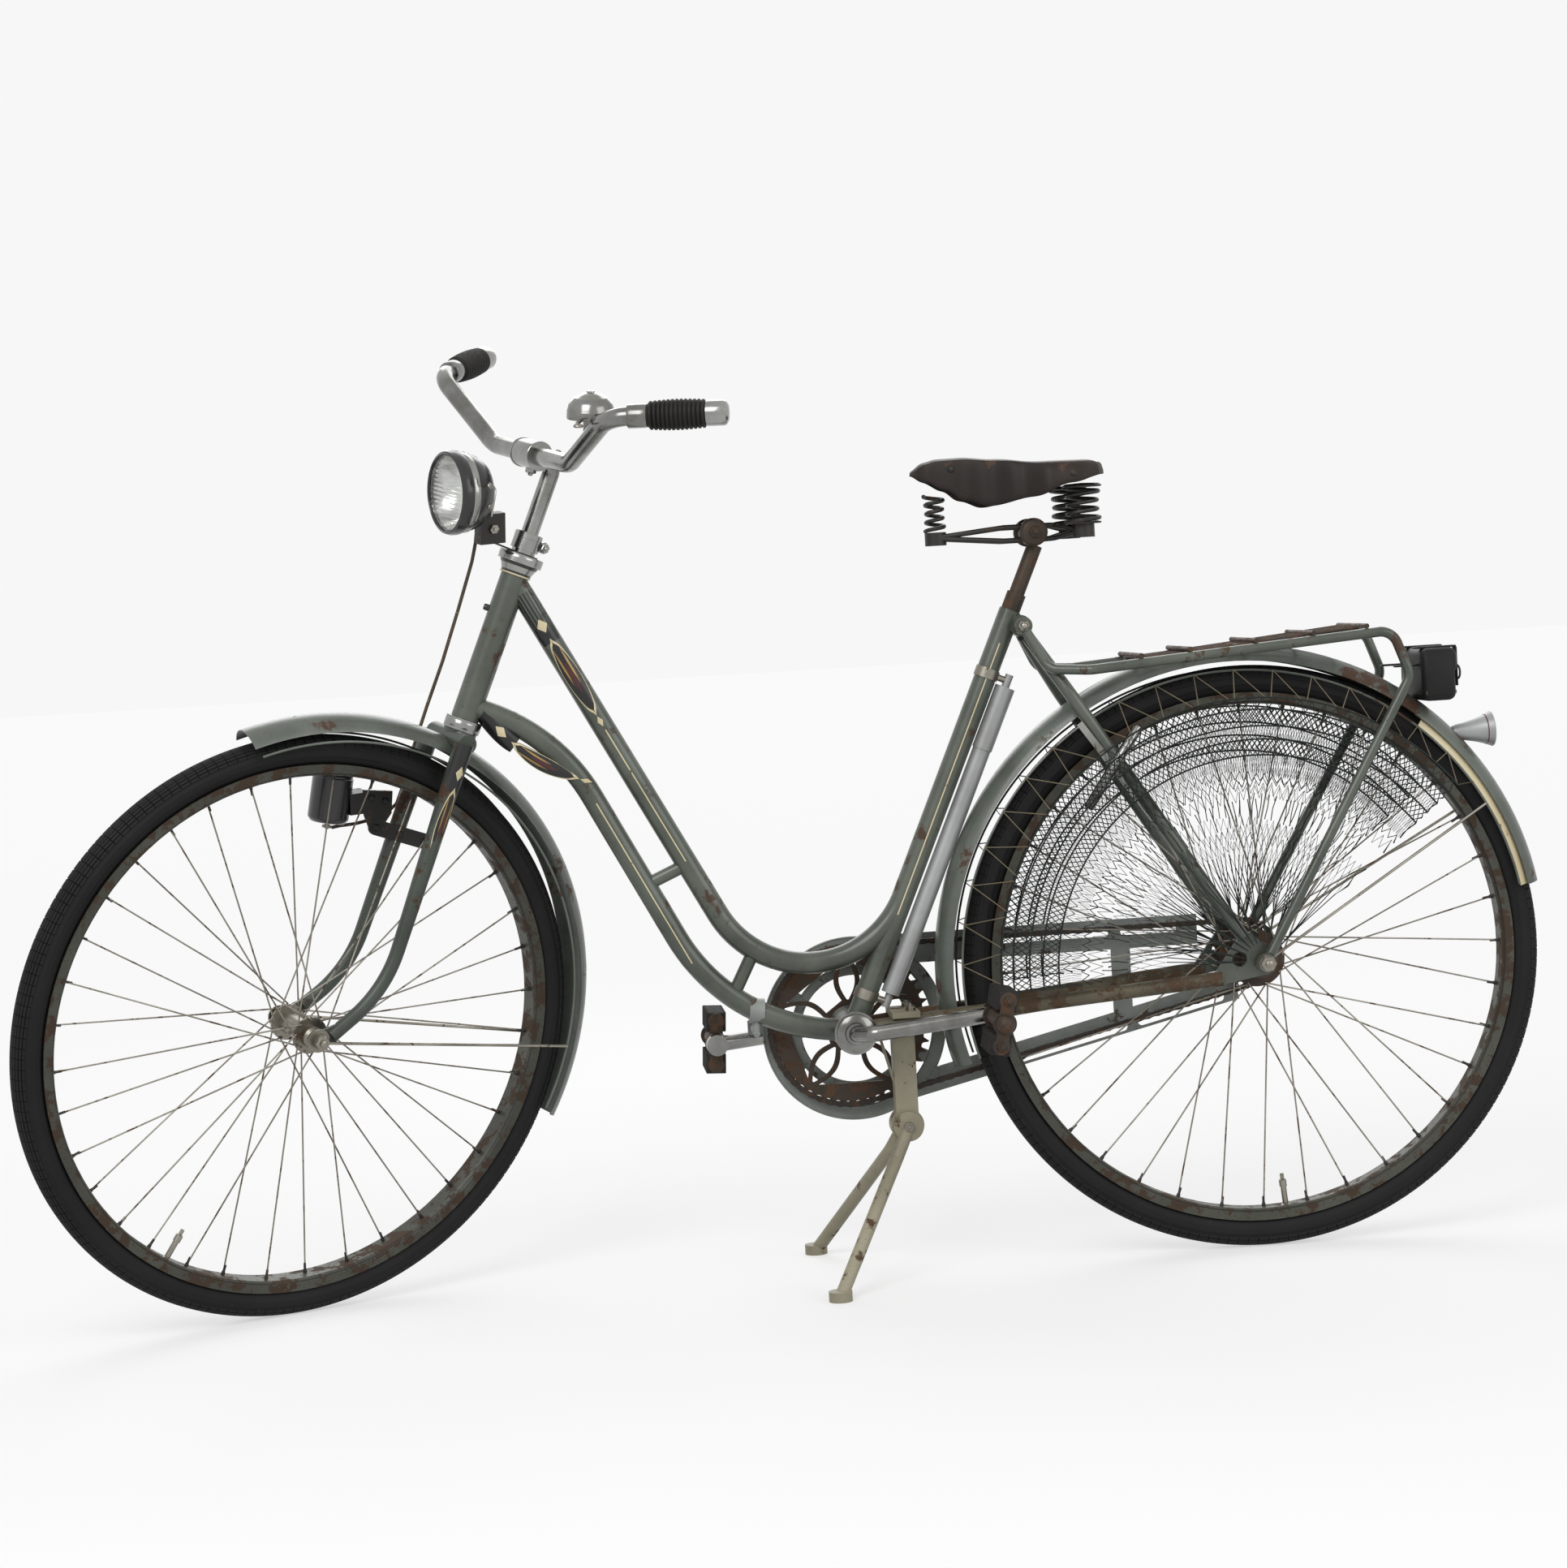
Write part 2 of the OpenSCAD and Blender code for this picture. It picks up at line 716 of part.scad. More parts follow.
// The chain's two straight runs lean by the difference of the chainring and the sprocket
run_tilt = asin((ring_pitch_r - sprocket_pitch_r) / norm(bracket_p - rear_hub_p));
hub_tilt = atan2(tyre_r - bracket_z, bracket_x);
low_run_tilt = hub_tilt + run_tilt;
top_run_tilt = hub_tilt - run_tilt;

// A band along one run of the chain, from x0 back to x1, between two heights about the chain
module run_band(top, x0, x1, low, high, end_r = 0) {
    tilt = top ? top_run_tilt : low_run_tilt;
    r = top ? sprocket_pitch_r : -sprocket_pitch_r;
    translate([0, tyre_r]) rotate(-tilt) translate([0, r])
        offset(r = end_r) offset(delta = -end_r)
            polygon([[x0, low], [x0, high], [x1, high], [x1, low]]);
}

module guard_ring(r0, r1) {
    translate([guard_p.x, guard_p.z]) difference() {
        circle(r = r1, $fn = 96);
        circle(r = r0, $fn = 96);
    }
}

// Flat pressed plate outside the chain: two rings with spokes at the front, a slotted band along
// each run of the chain and a web between the bands
module guard_plate() {
    difference() {
        union() {
            guard_ring(guard_r - 17, guard_r);
            guard_ring(66, 77);
            translate([guard_p.x + guard_r - 10, clip_rod_p.z - 9])
                square([clip_rod_p.x + 16 - guard_p.x - guard_r, 18]);
            difference() {
                translate([guard_p.x, guard_p.z]) for (a = [30, 100, 150, 205, 330])
                    rotate(a) translate([70, -8]) square([34, 16]);
                guard_ring(0, 66);
            }
            difference() {
                union() {
                    run_band(true, 470, 54, -27.5, 9.5);
                    run_band(false, 440, 18, -15.5, 14);
                    translate([139, bracket_z - 30]) square([24, 110]);
                }
                guard_ring(0, guard_r - 16);
            }
        }
        for (x = [[338, 162], [148, 36]])
            run_band(false, x[0], x[1], -12, -1.5, 5.2);
        for (x = [[338, 165], [150, 80]])
            run_band(true, x[0], x[1], -11, -3, 3.9);
    }
}

module chain_guard() {
    color([0.5, 0.51, 0.5]) {
        translate([0, -guard_y + guard_t / 2, 0]) rotate([90, 0, 0])
            linear_extrude(guard_t) guard_plate();
        difference() {
            union() {
                rod(clip_p - 9 * clip_dir, clip_p + 9 * clip_dir, main_d / 2 + 1.5);
                rod(clip_p, clip_rod_p, 5);
                cross_rod(clip_rod_p.x, clip_rod_p.z, -guard_y + guard_t / 2, 6, 4);
            }
            lower_tube_outer();
        }
    }
}

clip_dir = leg(lower_points[2], lower_points[3]);
clip_p = bend_point(lower_points, lower_bend_r, 2, 0.575);
clip_rod_p = clip_p + [2, 0, -28];

module crank() {
    left = crank_end(1) + [0, crank_y, 0];
    right = crank_end(-1) + [0, -crank_y, 0];
    color(bright) {
        bent_rod([right, bracket_p + [0, -crank_y + 8, 0] + 18 * leg(bracket_p, crank_end(-1)),
            bracket_p + [0, -50, 0], bracket_p + [0, 50, 0],
            bracket_p + [0, crank_y - 8, 0] + 18 * leg(bracket_p, crank_end(1)), left], 12, 9.5);
        rod(left - [0, 12, 0], left + [0, 9, 0], 13);
        rod(right - [0, 9, 0], right + [0, 12, 0], 13);
        rod(left, left + [0, pedal_y + pedal_half_len - crank_y + 3, 0], 5);
        rod(right - [0, pedal_y + pedal_half_len - crank_y + 3, 0], right, 5);
    }
}

// The chainring's rim stays inside the chain: its teeth are left to the finish
module chainring() {
    color(rusty) translate([bracket_x, -chain_line + 1.5, bracket_z]) rotate([90, 0, 0])
        linear_extrude(3) difference() {
            circle(r = ring_pitch_r - root_gap, $fn = 96);
            circle(r = 9.5);
            for (i = [0 : 4])
                rotate(72 * i) translate([50, 0]) circle(r = 23);
        }
}

// How far the top of each pedal leans back at rest
function pedal_tilt(side) = side > 0 ? 12 : 3;

// The cage turns on the pedal's spindle: a barrel and two end plates
module pedal_cage(side) {
    c = crank_end(side) + [0, side * pedal_y, 0];
    color(rusty) difference() {
        union() {
            rod(c - [0, pedal_half_len, 0], c + [0, pedal_half_len, 0], 10);
            for (end = [-1, 1])
                translate(c + [0, end * (pedal_half_len - 1.25) + 1.25, 0]) rotate([90, 0, 0])
                    linear_extrude(2.5) rotate(pedal_tilt(side)) {
                        circle(r = 14);
                        translate([-8, -27]) square([16, 54]);
                        translate([0, 27]) circle(r = 10);
                        translate([0, -27]) circle(r = 10);
                    }
        }
        rod(c - [0, 60, 0], c + [0, 60, 0], 5 + running);
    }
}

module pedal_blocks(side) {
    c = crank_end(side) + [0, side * pedal_y, 0];
    color(dark) for (up = [-1, 1])
        translate(c) rotate([0, -pedal_tilt(side), 0])
            translate([-12, -pedal_half_len + 2.5, up * 26 - 12]) cube([24, 2 * pedal_half_len - 5, 24]);
}

module pedal_left() pedal_cage(1);
module pedal_left_rubbers() pedal_blocks(1);
module pedal_right() pedal_cage(-1);
module pedal_right_rubbers() pedal_blocks(-1);

// ---------- Pump, lock and stand ----------

pump_back = 27;
pump_low_s = 57;
pump_top_s = 453;

module pump() {
    a = bracket_p + pump_back * seat_back;
    color(bright) {
        rod(a + pump_low_s * seat_dir, a + (pump_top_s - 80) * seat_dir, 11.2);
        rod(a + (pump_top_s - 80) * seat_dir, a + pump_top_s * seat_dir, 12.4);
        rod(a + pump_top_s * seat_dir, a + (pump_top_s + 16) * seat_dir, pump_peg_r);
        rod(a + (pump_low_s - 18) * seat_dir, a + pump_low_s * seat_dir, pump_peg_r);
    }
}

pump_peg_r = 5;
seat_back = -[sin(seat_angle), 0, cos(seat_angle)];

// Bands around the seat tube, each with an arm that holds one end of the pump
module pump_clips() {
    color(bright) for (s = [pump_low_s - 17, pump_top_s + 2]) {
        m = bracket_p + s * seat_dir;
        difference() {
            union() {
                rod(m, m + 12 * seat_dir, seat_d / 2 + 1.5);
                rod(m + 6 * seat_dir, m + 6 * seat_dir + pump_back * seat_back, 4);
            }
            seat_outer();
            rod(m - 10 * seat_dir + pump_back * seat_back, m + 24 * seat_dir + pump_back * seat_back,
                pump_peg_r);
        }
    }
}

module frame_lock() {
    color(bright) difference() {
        translate([160, 49, 590]) rotate([0, 35, 0]) translate([-4, 0, -70]) cube([8, 3, 150]);
        bent_rod(seat_stay_points, 60, seat_stay_r);
    }
}

stand_half_w = 14;

// A plate over both chain stays, with a channel down to the pivot and a flat link behind it
module stand_bracket() {
    p = stand_pivot_p;
    color([0.5, 0.48, 0.42]) {
        difference() {
            union() {
                translate([p.x - 14, 1 - stand_half_w, p.z])
                    cube([27, 2 * stand_half_w - 2, bracket_z + 16 - p.z]);
                cross_rod(p.x, p.z, -stand_half_w, stand_half_w, stand_boss_r);
                translate([p.x - 20, -36, bracket_z + 14]) cube([34, 72, 7]);
            }
            cross_rod(p.x, p.z, -20, 20, stand_pin_r + running);
            both_sides() bent_rod(chain_stay_points, 60, chain_stay_r);
        }
        aim([p.x + 13, 0, p.z + 42], [17, 0, 66]) translate([-4, 3, 0]) cube([3, 7, 70]);
    }
}

stand_pin_r = 6;

module stand_legs() {
    p = stand_pivot_p;
    color([0.5, 0.48, 0.42]) {
        cross_rod(p.x, p.z, -26, 26, stand_pin_r);
        both_sides() difference() {
            union() {
                cross_rod(p.x, p.z, stand_half_w + 0.5, 26, stand_boss_r - 2);
                bent_rod([p + [2, 21, -6], p + [18, 34, -36], [foot_x, foot_half_w, 4]], 20, 8);
                rod([foot_x, foot_half_w, 0], [foot_x, foot_half_w, 12], 14);
            }
            translate([foot_x - 50, foot_half_w - 50, -20]) cube([100, 100, 20]);
            translate([p.x - 50, -stand_half_w - 0.5, 0])
                cube([100, 2 * stand_half_w + 1, p.z + 60]);
        }
    }
}

// ---------- Fork and what it carries ----------

// The crown sits on the fender's top, just clear of it
fender_in_axis = front_fender_p - [axis_floor_x, 0, 0];
fender_fore = fender_in_axis * axis_fore;
fender_top_s = fender_in_axis * axis_up + sqrt(pow(front_fender_r, 2) - pow(fender_fore, 2));
crown_top_s = head_low_s - low_cup_h - gap;
crown_r = 12;
crown_s = crown_top_s - crown_r;
blade_top_y = front_fender_half + 16;
blade_low_y = 53;
blade_points = [along_axis(crown_s, 14), front_hub_p + [-90, 0, 46.5], front_hub_p + [-17, 0, 2]];

// Thinner towards the axle, and bent forward near its lower end
module blade() {
    a = lift(blade_points[0], blade_top_y);
    b = lift(blade_points[1], blade_low_y - 3);
    c = lift(blade_points[2], blade_low_y);
    bend = 150;
    t = bend * tan(acos(leg(a, b) * leg(b, c)) / 2);
    rod(a, b - (t + 0.2) * leg(a, b), 12, 8.5);
    bend_arc(a, b, c, bend, 8.5);
    rod(b + (t + 0.2) * leg(b, c), c, 8.5);
}

module fork() {
    steered() color(enamel) {
        difference() {
            union() {
                rod(along_axis(crown_s - 14), along_axis(crown_top_s), 20);
                rod(lift(along_axis(crown_s, 9), -blade_top_y), lift(along_axis(crown_s, 9), blade_top_y),
                    crown_r);
            }
            fender_room(front_fender_p, front_fender_r, front_fender_half);
        }
        rod(along_axis(crown_s + 4), along_axis(nut_top_s + collar_h), steerer_r);
        both_sides() {
            difference() {
                blade();
                rod(front_hub_p + [0, 30, 0], front_hub_p + [0, 51, 0], 30);
                rod(front_hub_p, front_hub_p + [0, 80, 0], 10);
            }
            difference() {
                translate(front_hub_p + [0, 55, 0]) rotate([90, 0, 0]) linear_extrude(4) {
                    circle(r = 11);
                    polygon([[-24, 16], [0, 10], [0, -10], [-24, -6]]);
                }
                rod(front_hub_p, front_hub_p + [0, 80, 0], axle_r);
            }
        }
    }
}

module front_axle() {
    steered() color(bright) {
        rod(front_hub_p - [0, front_nut_y + 7, 0], front_hub_p + [0, front_nut_y + 7, 0], axle_r);
        both_sides() {
            rod(front_hub_p + [0, 55, 0], front_hub_p + [0, front_nut_y, 0], 9);
            rod(front_hub_p + [0, 47, 0], front_hub_p + [0, 51, 0], 8);
        }
    }
}

quill_len = 111;
bar_clamp_p = along_axis(nut_top_s + quill_len, 34);
quill_r = 10.5;

// A lock ring, a nut and a clamp collar on the steerer, and the stem that rises out of them
module stem() {
    steered() color(bright) {
        difference() {
            union() {
                rod(along_axis(head_top_s + gap), along_axis(head_top_s + ring_h), 27);
                rod(along_axis(strap_s + strap_t), along_axis(nut_top_s + 1), 14.5);
                rod(along_axis(nut_top_s + 1), along_axis(nut_top_s + collar_h), 17);
                rod(lift(along_axis(nut_top_s + 11, -20), -9), lift(along_axis(nut_top_s + 11, -20), 9), 7);
            }
            rod(along_axis(head_top_s - 5), along_axis(nut_top_s + collar_h + 5), steerer_r);
            rod(along_axis(strap_s), along_axis(strap_s + strap_t), 40);
        }
        difference() {
            union() {
                bent_rod([along_axis(nut_top_s + collar_h), along_axis(nut_top_s + quill_len),
                    bar_clamp_p], 15, quill_r);
                rod(bar_clamp_p - [0, 21, 0], bar_clamp_p + [0, 21, 0], 17);
            }
            rod(bar_clamp_p - [0, 30, 0], bar_clamp_p + [0, 30, 0], bar_d / 2);
        }
    }
}

strap_s = head_top_s + ring_h;
strap_t = 1.8;

bar_rise_p = bar_clamp_p + [13, 0, 70];
grip_start_p = bar_clamp_p + [-22, bar_half_w - 57, 78];
grip_dir = leg([0, 0, 0], [-75, 57, 0]);
bar_left = [[bar_clamp_p.x, 93, bar_clamp_p.z], [bar_rise_p.x, 208, bar_rise_p.z],
    grip_start_p + 92 * grip_dir];

bar_points = [bar_left[2], bar_left[1], bar_left[0], for (p = bar_left) lift(p, -p.y)];

module bar_outer() {
    bent_rod(bar_points, 40, bar_d / 2);
}

module handlebar() {
    steered() color(bright) bar_outer();
}

module grips() {
    d = leg(bar_left[1], bar_left[2]);
    steered() color(dark) both_sides() difference() {
        rod(bar_left[2] - 92 * d, bar_left[2] - 24 * d, 18);
        rod(bar_left[2] - 120 * d, bar_left[2] + 20 * d, bar_d / 2);
    }
}

module bell() {
    p = lerp(bar_left[0], bar_left[1], 0.5) + [-4, 0, 26];
    steered() color(bright) difference() {
        union() {
            translate(p) rotate_extrude()
                polygon([[0, 0], [27.5, 0], [27.5, 9], [25, 17], [19, 24], [9, 29], [0, 30]]);
            rod(p - [0, 0, 22], p + [0, 0, 1], 9);
        }
        bar_outer();
    }
}

// Headlamp: a domed shell closed by a flat glass, looking slightly up
lamp_back_p = along_axis(head_top_s + 67, 73.6);
lamp_dir = [cos(3), 0, sin(3)];
lamp_r = lamp_d / 2;

module headlamp_outer() {
    aim(lamp_back_p, lamp_dir) rotate_extrude()
        polygon([[0, 0], [0.42 * lamp_r, 1], [0.7 * lamp_r, 8], [0.88 * lamp_r, 19], [0.94 * lamp_r, 30],
            [0.94 * lamp_r, 40], [lamp_r, 42], [lamp_r, 52], [0.9 * lamp_r, 55], [0, 58]]);
}

module headlamp() {
    steered() color(dark) headlamp_outer();
}

// A strap clamped in the headset, up to a folded plate behind the lamp
module lamp_bracket() {
    strap_start = along_axis(strap_s + strap_t / 2);
    strap_end = lamp_back_p + [-8, 0, -62];
    steered() color(dark) difference() {
        union() {
            rod(along_axis(strap_s), along_axis(strap_s + strap_t), 19);
            aim(strap_start, strap_end - strap_start) translate([-strap_t / 2, -7, 0])
                cube([strap_t, 14, norm(strap_end - strap_start)]);
            translate(lamp_back_p + [-20, -8, -62]) cube([33, 16, 36]);
        }
        headlamp_outer();
        rod(along_axis(head_top_s), along_axis(nut_top_s), steerer_r);
        rod(along_axis(head_top_s), along_axis(strap_s), 30);
        rod(along_axis(strap_s + strap_t), along_axis(nut_top_s + 1), 14.5);
    }
}

dynamo_p = [1096, -54, 586];
dynamo_dir = leg([0, 0, 0], [-10, -3, 50]);
dynamo_r = 24.5;

module dynamo_outer() {
    rod(dynamo_p, dynamo_p + 62 * dynamo_dir, dynamo_r);
}

module dynamo() {
    steered() color(dark) {
        dynamo_outer();
        rod(dynamo_p + 62 * dynamo_dir, dynamo_p + 74 * dynamo_dir, 20, 13);
        rod(dynamo_p + 74 * dynamo_dir, dynamo_p + 92 * dynamo_dir, 10);
        rod(dynamo_p - 9 * dynamo_dir, dynamo_p, 6);
    }
}

// A hinged strap on the inner side of the right blade
module dynamo_bracket() {
    steered() color(dark) difference() {
        union() {
            translate([0, -36, 0]) rotate([90, 0, 0]) linear_extrude(3) {
                hull() {
                    translate([1041, 575]) circle(r = 9.5);
                    translate([972, 547]) circle(r = 9.5);
                }
                polygon([[1032, 575], [1050, 575], [1056, 592], [1056, 623], [1018, 617], [1020, 590]]);
            }
            translate([1050, -60, 594]) cube([24, 24, 26]);
            rod([1006, -36, 561], [1006, -50, 561], 5);
        }
        mirror([0, 1, 0]) blade();
        dynamo_outer();
    }
}

// The wire's own run is a swept tube with eight sides
function ring_at(p, d, r) =
    let (u = d / norm(d), side = cross(u, [0, 1, 0]) / norm(cross(u, [0, 1, 0])), up = cross(side, u))
    [for (k = [0 : 7]) p + r * cos(45 * k) * side + r * sin(45 * k) * up];

module swept_tube(p, r) {
    n = len(p);
    rings = [for (i = [0 : n - 1])
        ring_at(p[i], p[min(i + 1, n - 1)] - p[max(i - 1, 0)], r)];
    polyhedron(points = [for (ring = rings) each ring],
        faces = concat([[for (k = [0 : 7]) k]], [[for (k = [0 : 7]) 8 * (n - 1) + 7 - k]],
            [for (i = [0 : n - 2]) for (k = [0 : 7])
                [8 * i + k, 8 * (i + 1) + k, 8 * (i + 1) + (k + 1) % 8, 8 * i + (k + 1) % 8]]));
}

module lamp_wire() {
    steered() color(rusty) swept_tube(wire_route, 2.2);
}

head_tube();
headset_cups();
upper_tube();
lower_tube();
cross_struts();
seat_tube();
bottom_bracket();
bearing_cups();
chain_stays();
seat_stays();
rear_dropouts();
rear_axle();
seat_post();
saddle_leather();
saddle_frame();
saddle_springs();
rack_frame();
rack_rods();
tool_bag();
tail_lamp();
rear_fender();
rear_fender_stays();
skirt_guard_left();
skirt_guard_right();
chain_guard();
chain();
pump();
pump_clips();
stand_bracket();
frame_lock();
fork();
front_axle();
front_fender();
front_fender_stays();
stem();
handlebar();
grips();
bell();
headlamp();
lamp_bracket();
dynamo();
dynamo_bracket();
lamp_wire();
front_tyre();
front_rim();
front_spokes();
front_hub();
rear_tyre();
rear_rim();
rear_spokes();
rear_hub();
crank();
chainring();
pedal_left();
pedal_left_rubbers();
pedal_right();
pedal_right_rubbers();
stand_legs();
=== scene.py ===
"""Finished look of the step-through roadster bicycle, made around its CAD frame.

Metres. +X points forward, +Y to the rider's left, +Z up. Pieces that the fork carries are made
with the bars straight and then turned with the rest of the fork.
"""

import json
import logging
import math
import random
from dataclasses import dataclass
from enum import Enum
from typing import Callable, Iterable, Optional, Sequence

import bpy
from mathutils import Matrix, Vector


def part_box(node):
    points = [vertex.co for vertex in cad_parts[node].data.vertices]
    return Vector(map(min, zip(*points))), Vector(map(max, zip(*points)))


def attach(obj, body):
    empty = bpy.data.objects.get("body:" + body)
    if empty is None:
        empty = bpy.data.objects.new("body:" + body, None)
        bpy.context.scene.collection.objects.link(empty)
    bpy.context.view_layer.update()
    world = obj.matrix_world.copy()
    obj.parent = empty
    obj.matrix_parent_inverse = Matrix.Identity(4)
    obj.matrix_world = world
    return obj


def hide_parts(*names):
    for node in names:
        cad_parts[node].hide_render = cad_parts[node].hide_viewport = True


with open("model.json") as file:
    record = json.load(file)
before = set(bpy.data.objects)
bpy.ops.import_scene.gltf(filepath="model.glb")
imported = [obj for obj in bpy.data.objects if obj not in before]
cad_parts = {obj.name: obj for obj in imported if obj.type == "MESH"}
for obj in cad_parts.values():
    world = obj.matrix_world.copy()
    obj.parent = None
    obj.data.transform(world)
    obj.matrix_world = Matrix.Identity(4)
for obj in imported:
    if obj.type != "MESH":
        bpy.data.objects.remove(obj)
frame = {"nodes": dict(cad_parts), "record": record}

log = logging.getLogger("roadster")
Colour = tuple[float, float, float]
Point = tuple[float, float]
MM = 0.001
TURN = 2 * math.pi


def joint(name: str) -> dict:
    """Finds a joint of the record.

    Args:
        name: The joint's name.

    Returns:
        The joint's row.
    """
    rows = frame["record"]["behaviour"]["joints"]
    return next(row for row in rows if row["name"] == name)


def place(name: str) -> Vector:
    """Gives the point that a joint turns about.

    Args:
        name: The joint's name.

    Returns:
        The point, in metres.
    """
    return Vector(joint(name)["pos_m"])


STEER_UP = Vector(joint("steering")["axis"])
STEER_REST = math.radians(29.3)
STEER = (
    Matrix.Translation(place("steering"))
    @ Matrix.Rotation(STEER_REST, 4, STEER_UP)
    @ Matrix.Translation(-place("steering"))
)
STRAIGHT = Matrix.Identity(4)
REAR_HUB = place("rear_wheel_spin")
FRONT_HUB = STEER.inverted() @ place("front_wheel_spin")
BRACKET = place("crank_spin")
LEFT = Vector((0, 1, 0))


def mm(x: float, y: float, z: float) -> Vector:
    """Makes a point from millimetres.

    Args:
        x: Forward.
        y: To the left.
        z: Up.

    Returns:
        The point in metres.
    """
    return Vector((x, y, z)) * MM


def srgb(red: int, green: int, blue: int) -> Colour:
    """Turns a display colour into a linear one.

    Args:
        red: 0 to 255.
        green: 0 to 255.
        blue: 0 to 255.

    Returns:
        The linear colour.
    """

    def line(c: float) -> float:
        """Gives one channel in linear light."""
        return c / 12.92 if c <= 0.04045 else ((c + 0.055) / 1.055) ** 2.4

    return (line(red / 255), line(green / 255), line(blue / 255))


# ---------------------------------------------------------------- finishes


class Sheet:
    """A shader tree being wired up."""

    def __init__(self, tree: bpy.types.NodeTree) -> None:
        """Starts on a tree.

        Args:
            tree: The node tree to fill.
        """
        self.tree = tree

    def add(self, kind: str, values: Optional[dict] = None, **settings: object) -> bpy.types.Node:
        """Adds a node.

        Args:
            kind: Blender's node type.
            values: Input name or number to a plain value or to an output to link from.
            **settings: Properties of the node.

        Returns:
            The node.
        """
        made = self.tree.nodes.new(kind)
        for key, value in settings.items():
            setattr(made, key, value)
        for key, value in (values or {}).items():
            if isinstance(value, bpy.types.NodeSocket):
                self.tree.links.new(value, made.inputs[key])
            elif isinstance(value, tuple) and len(value) == 3 and made.inputs[key].type == "RGBA":
                made.inputs[key].default_value = (*value, 1)
            else:
                made.inputs[key].default_value = value
        return made

    def mix(self, share: object, a: object, b: object) -> bpy.types.NodeSocket:
        """Mixes two colours.

        Args:
            share: How much of the second, a socket or a number.
            a: First colour.
            b: Second colour.

        Returns:
            The mixed colour.
        """
        node = self.add("ShaderNodeMix", data_type="RGBA")
        for slot, value in ((0, share), (6, a), (7, b)):
            if isinstance(value, bpy.types.NodeSocket):
                self.tree.links.new(value, node.inputs[slot])
            else:
                node.inputs[slot].default_value = (*value, 1) if isinstance(value, tuple) else value
        return node.outputs[2]

    def blend(self, share: bpy.types.NodeSocket, low: float, high: float) -> bpy.types.NodeSocket:
        """Runs a value from low to high as a mask goes from 0 to 1.

        Args:
            share: The mask.
            low: Value at 0.
            high: Value at 1.

        Returns:
            The value.
        """
        return self.add("ShaderNodeMapRange", {0: share, 3: low, 4: high}).outputs[0]


def new_group(
    name: str, inputs: dict[str, float], outputs: Sequence[str]
) -> tuple[Sheet, bpy.types.Node, bpy.types.Node]:
    """Starts a node group.

    Args:
        name: The group's name.
        inputs: Input names and their defaults.
        outputs: Output names.

    Returns:
        The sheet, the group's input node and its output node.
    """
    tree = bpy.data.node_groups.new(name, "ShaderNodeTree")
    for key, value in inputs.items():
        tree.interface.new_socket(
            key, in_out="INPUT", socket_type="NodeSocketFloat"
        ).default_value = value
    for key in outputs:
        tree.interface.new_socket(key, in_out="OUTPUT", socket_type="NodeSocketFloat")
    sheet = Sheet(tree)
    return sheet, sheet.add("NodeGroupInput"), sheet.add("NodeGroupOutput")


def build_patches() -> bpy.types.NodeTree:
    """Makes the group that scatters ragged patches of rust.

    Returns:
        A group with a Mask of patches and a finer Speck mask.
    """
    sheet, given, out = new_group("rust_patches", {"Scale": 20.0, "Level": 0.6}, ("Mask", "Speck"))
    coords = sheet.add("ShaderNodeTexCoord").outputs["Object"]
    broad = sheet.add(
        "ShaderNodeTexNoise",
        {"Vector": coords, "Scale": given.outputs["Scale"], "Detail": 7.0, "Roughness": 0.68}
    )
    finer = sheet.add("ShaderNodeMath", {0: given.outputs["Scale"], 1: 9.0}, operation="MULTIPLY")
    fine = sheet.add(
        "ShaderNodeTexNoise",
        {"Vector": coords, "Scale": finer.outputs[0], "Detail": 5.0, "Roughness": 0.7}
    )
    above = sheet.add("ShaderNodeMath", {0: given.outputs["Level"], 1: 0.05}, operation="ADD")
    mask = sheet.add(
        "ShaderNodeMapRange", {0: broad.outputs[0], 1: given.outputs["Level"], 2: above.outputs[0]},
        interpolation_type="SMOOTHSTEP"
    )
    lift = sheet.add("ShaderNodeMath", {0: above.outputs[0], 1: 0.03}, operation="ADD")
    top = sheet.add("ShaderNodeMath", {0: lift.outputs[0], 1: 0.04}, operation="ADD")
    speck = sheet.add(
        "ShaderNodeMapRange", {0: fine.outputs[0], 1: lift.outputs[0], 2: top.outputs[0]},
        interpolation_type="SMOOTHSTEP"
    )
    sheet.tree.links.new(mask.outputs[0], out.inputs["Mask"])
    sheet.tree.links.new(speck.outputs[0], out.inputs["Speck"])
    return sheet.tree


def build_clouds() -> bpy.types.NodeTree:
    """Makes the group that clouds a colour with grime and gives its grain.

    Returns:
        A group with a broad Tone and a fine Grain.
    """
    sheet, given, out = new_group("grime_clouds", {"Scale": 8.0, "Grain": 900.0}, ("Tone", "Grain"))
    coords = sheet.add("ShaderNodeTexCoord").outputs["Object"]
    tone = sheet.add(
        "ShaderNodeTexNoise",
        {"Vector": coords, "Scale": given.outputs["Scale"], "Detail": 8.0, "Roughness": 0.6}
    )
    soft = sheet.add("ShaderNodeMapRange", {0: tone.outputs[0], 1: 0.36, 2: 0.66})
    grain = sheet.add(
        "ShaderNodeTexNoise", {"Vector": coords, "Scale": given.outputs["Grain"], "Detail": 3.0}
    )
    sheet.tree.links.new(soft.outputs[0], out.inputs["Tone"])
    sheet.tree.links.new(grain.outputs[0], out.inputs["Grain"])
    return sheet.tree


PATCHES = build_patches()
CLOUDS = build_clouds()
_materials: dict[str, bpy.types.Material] = {}


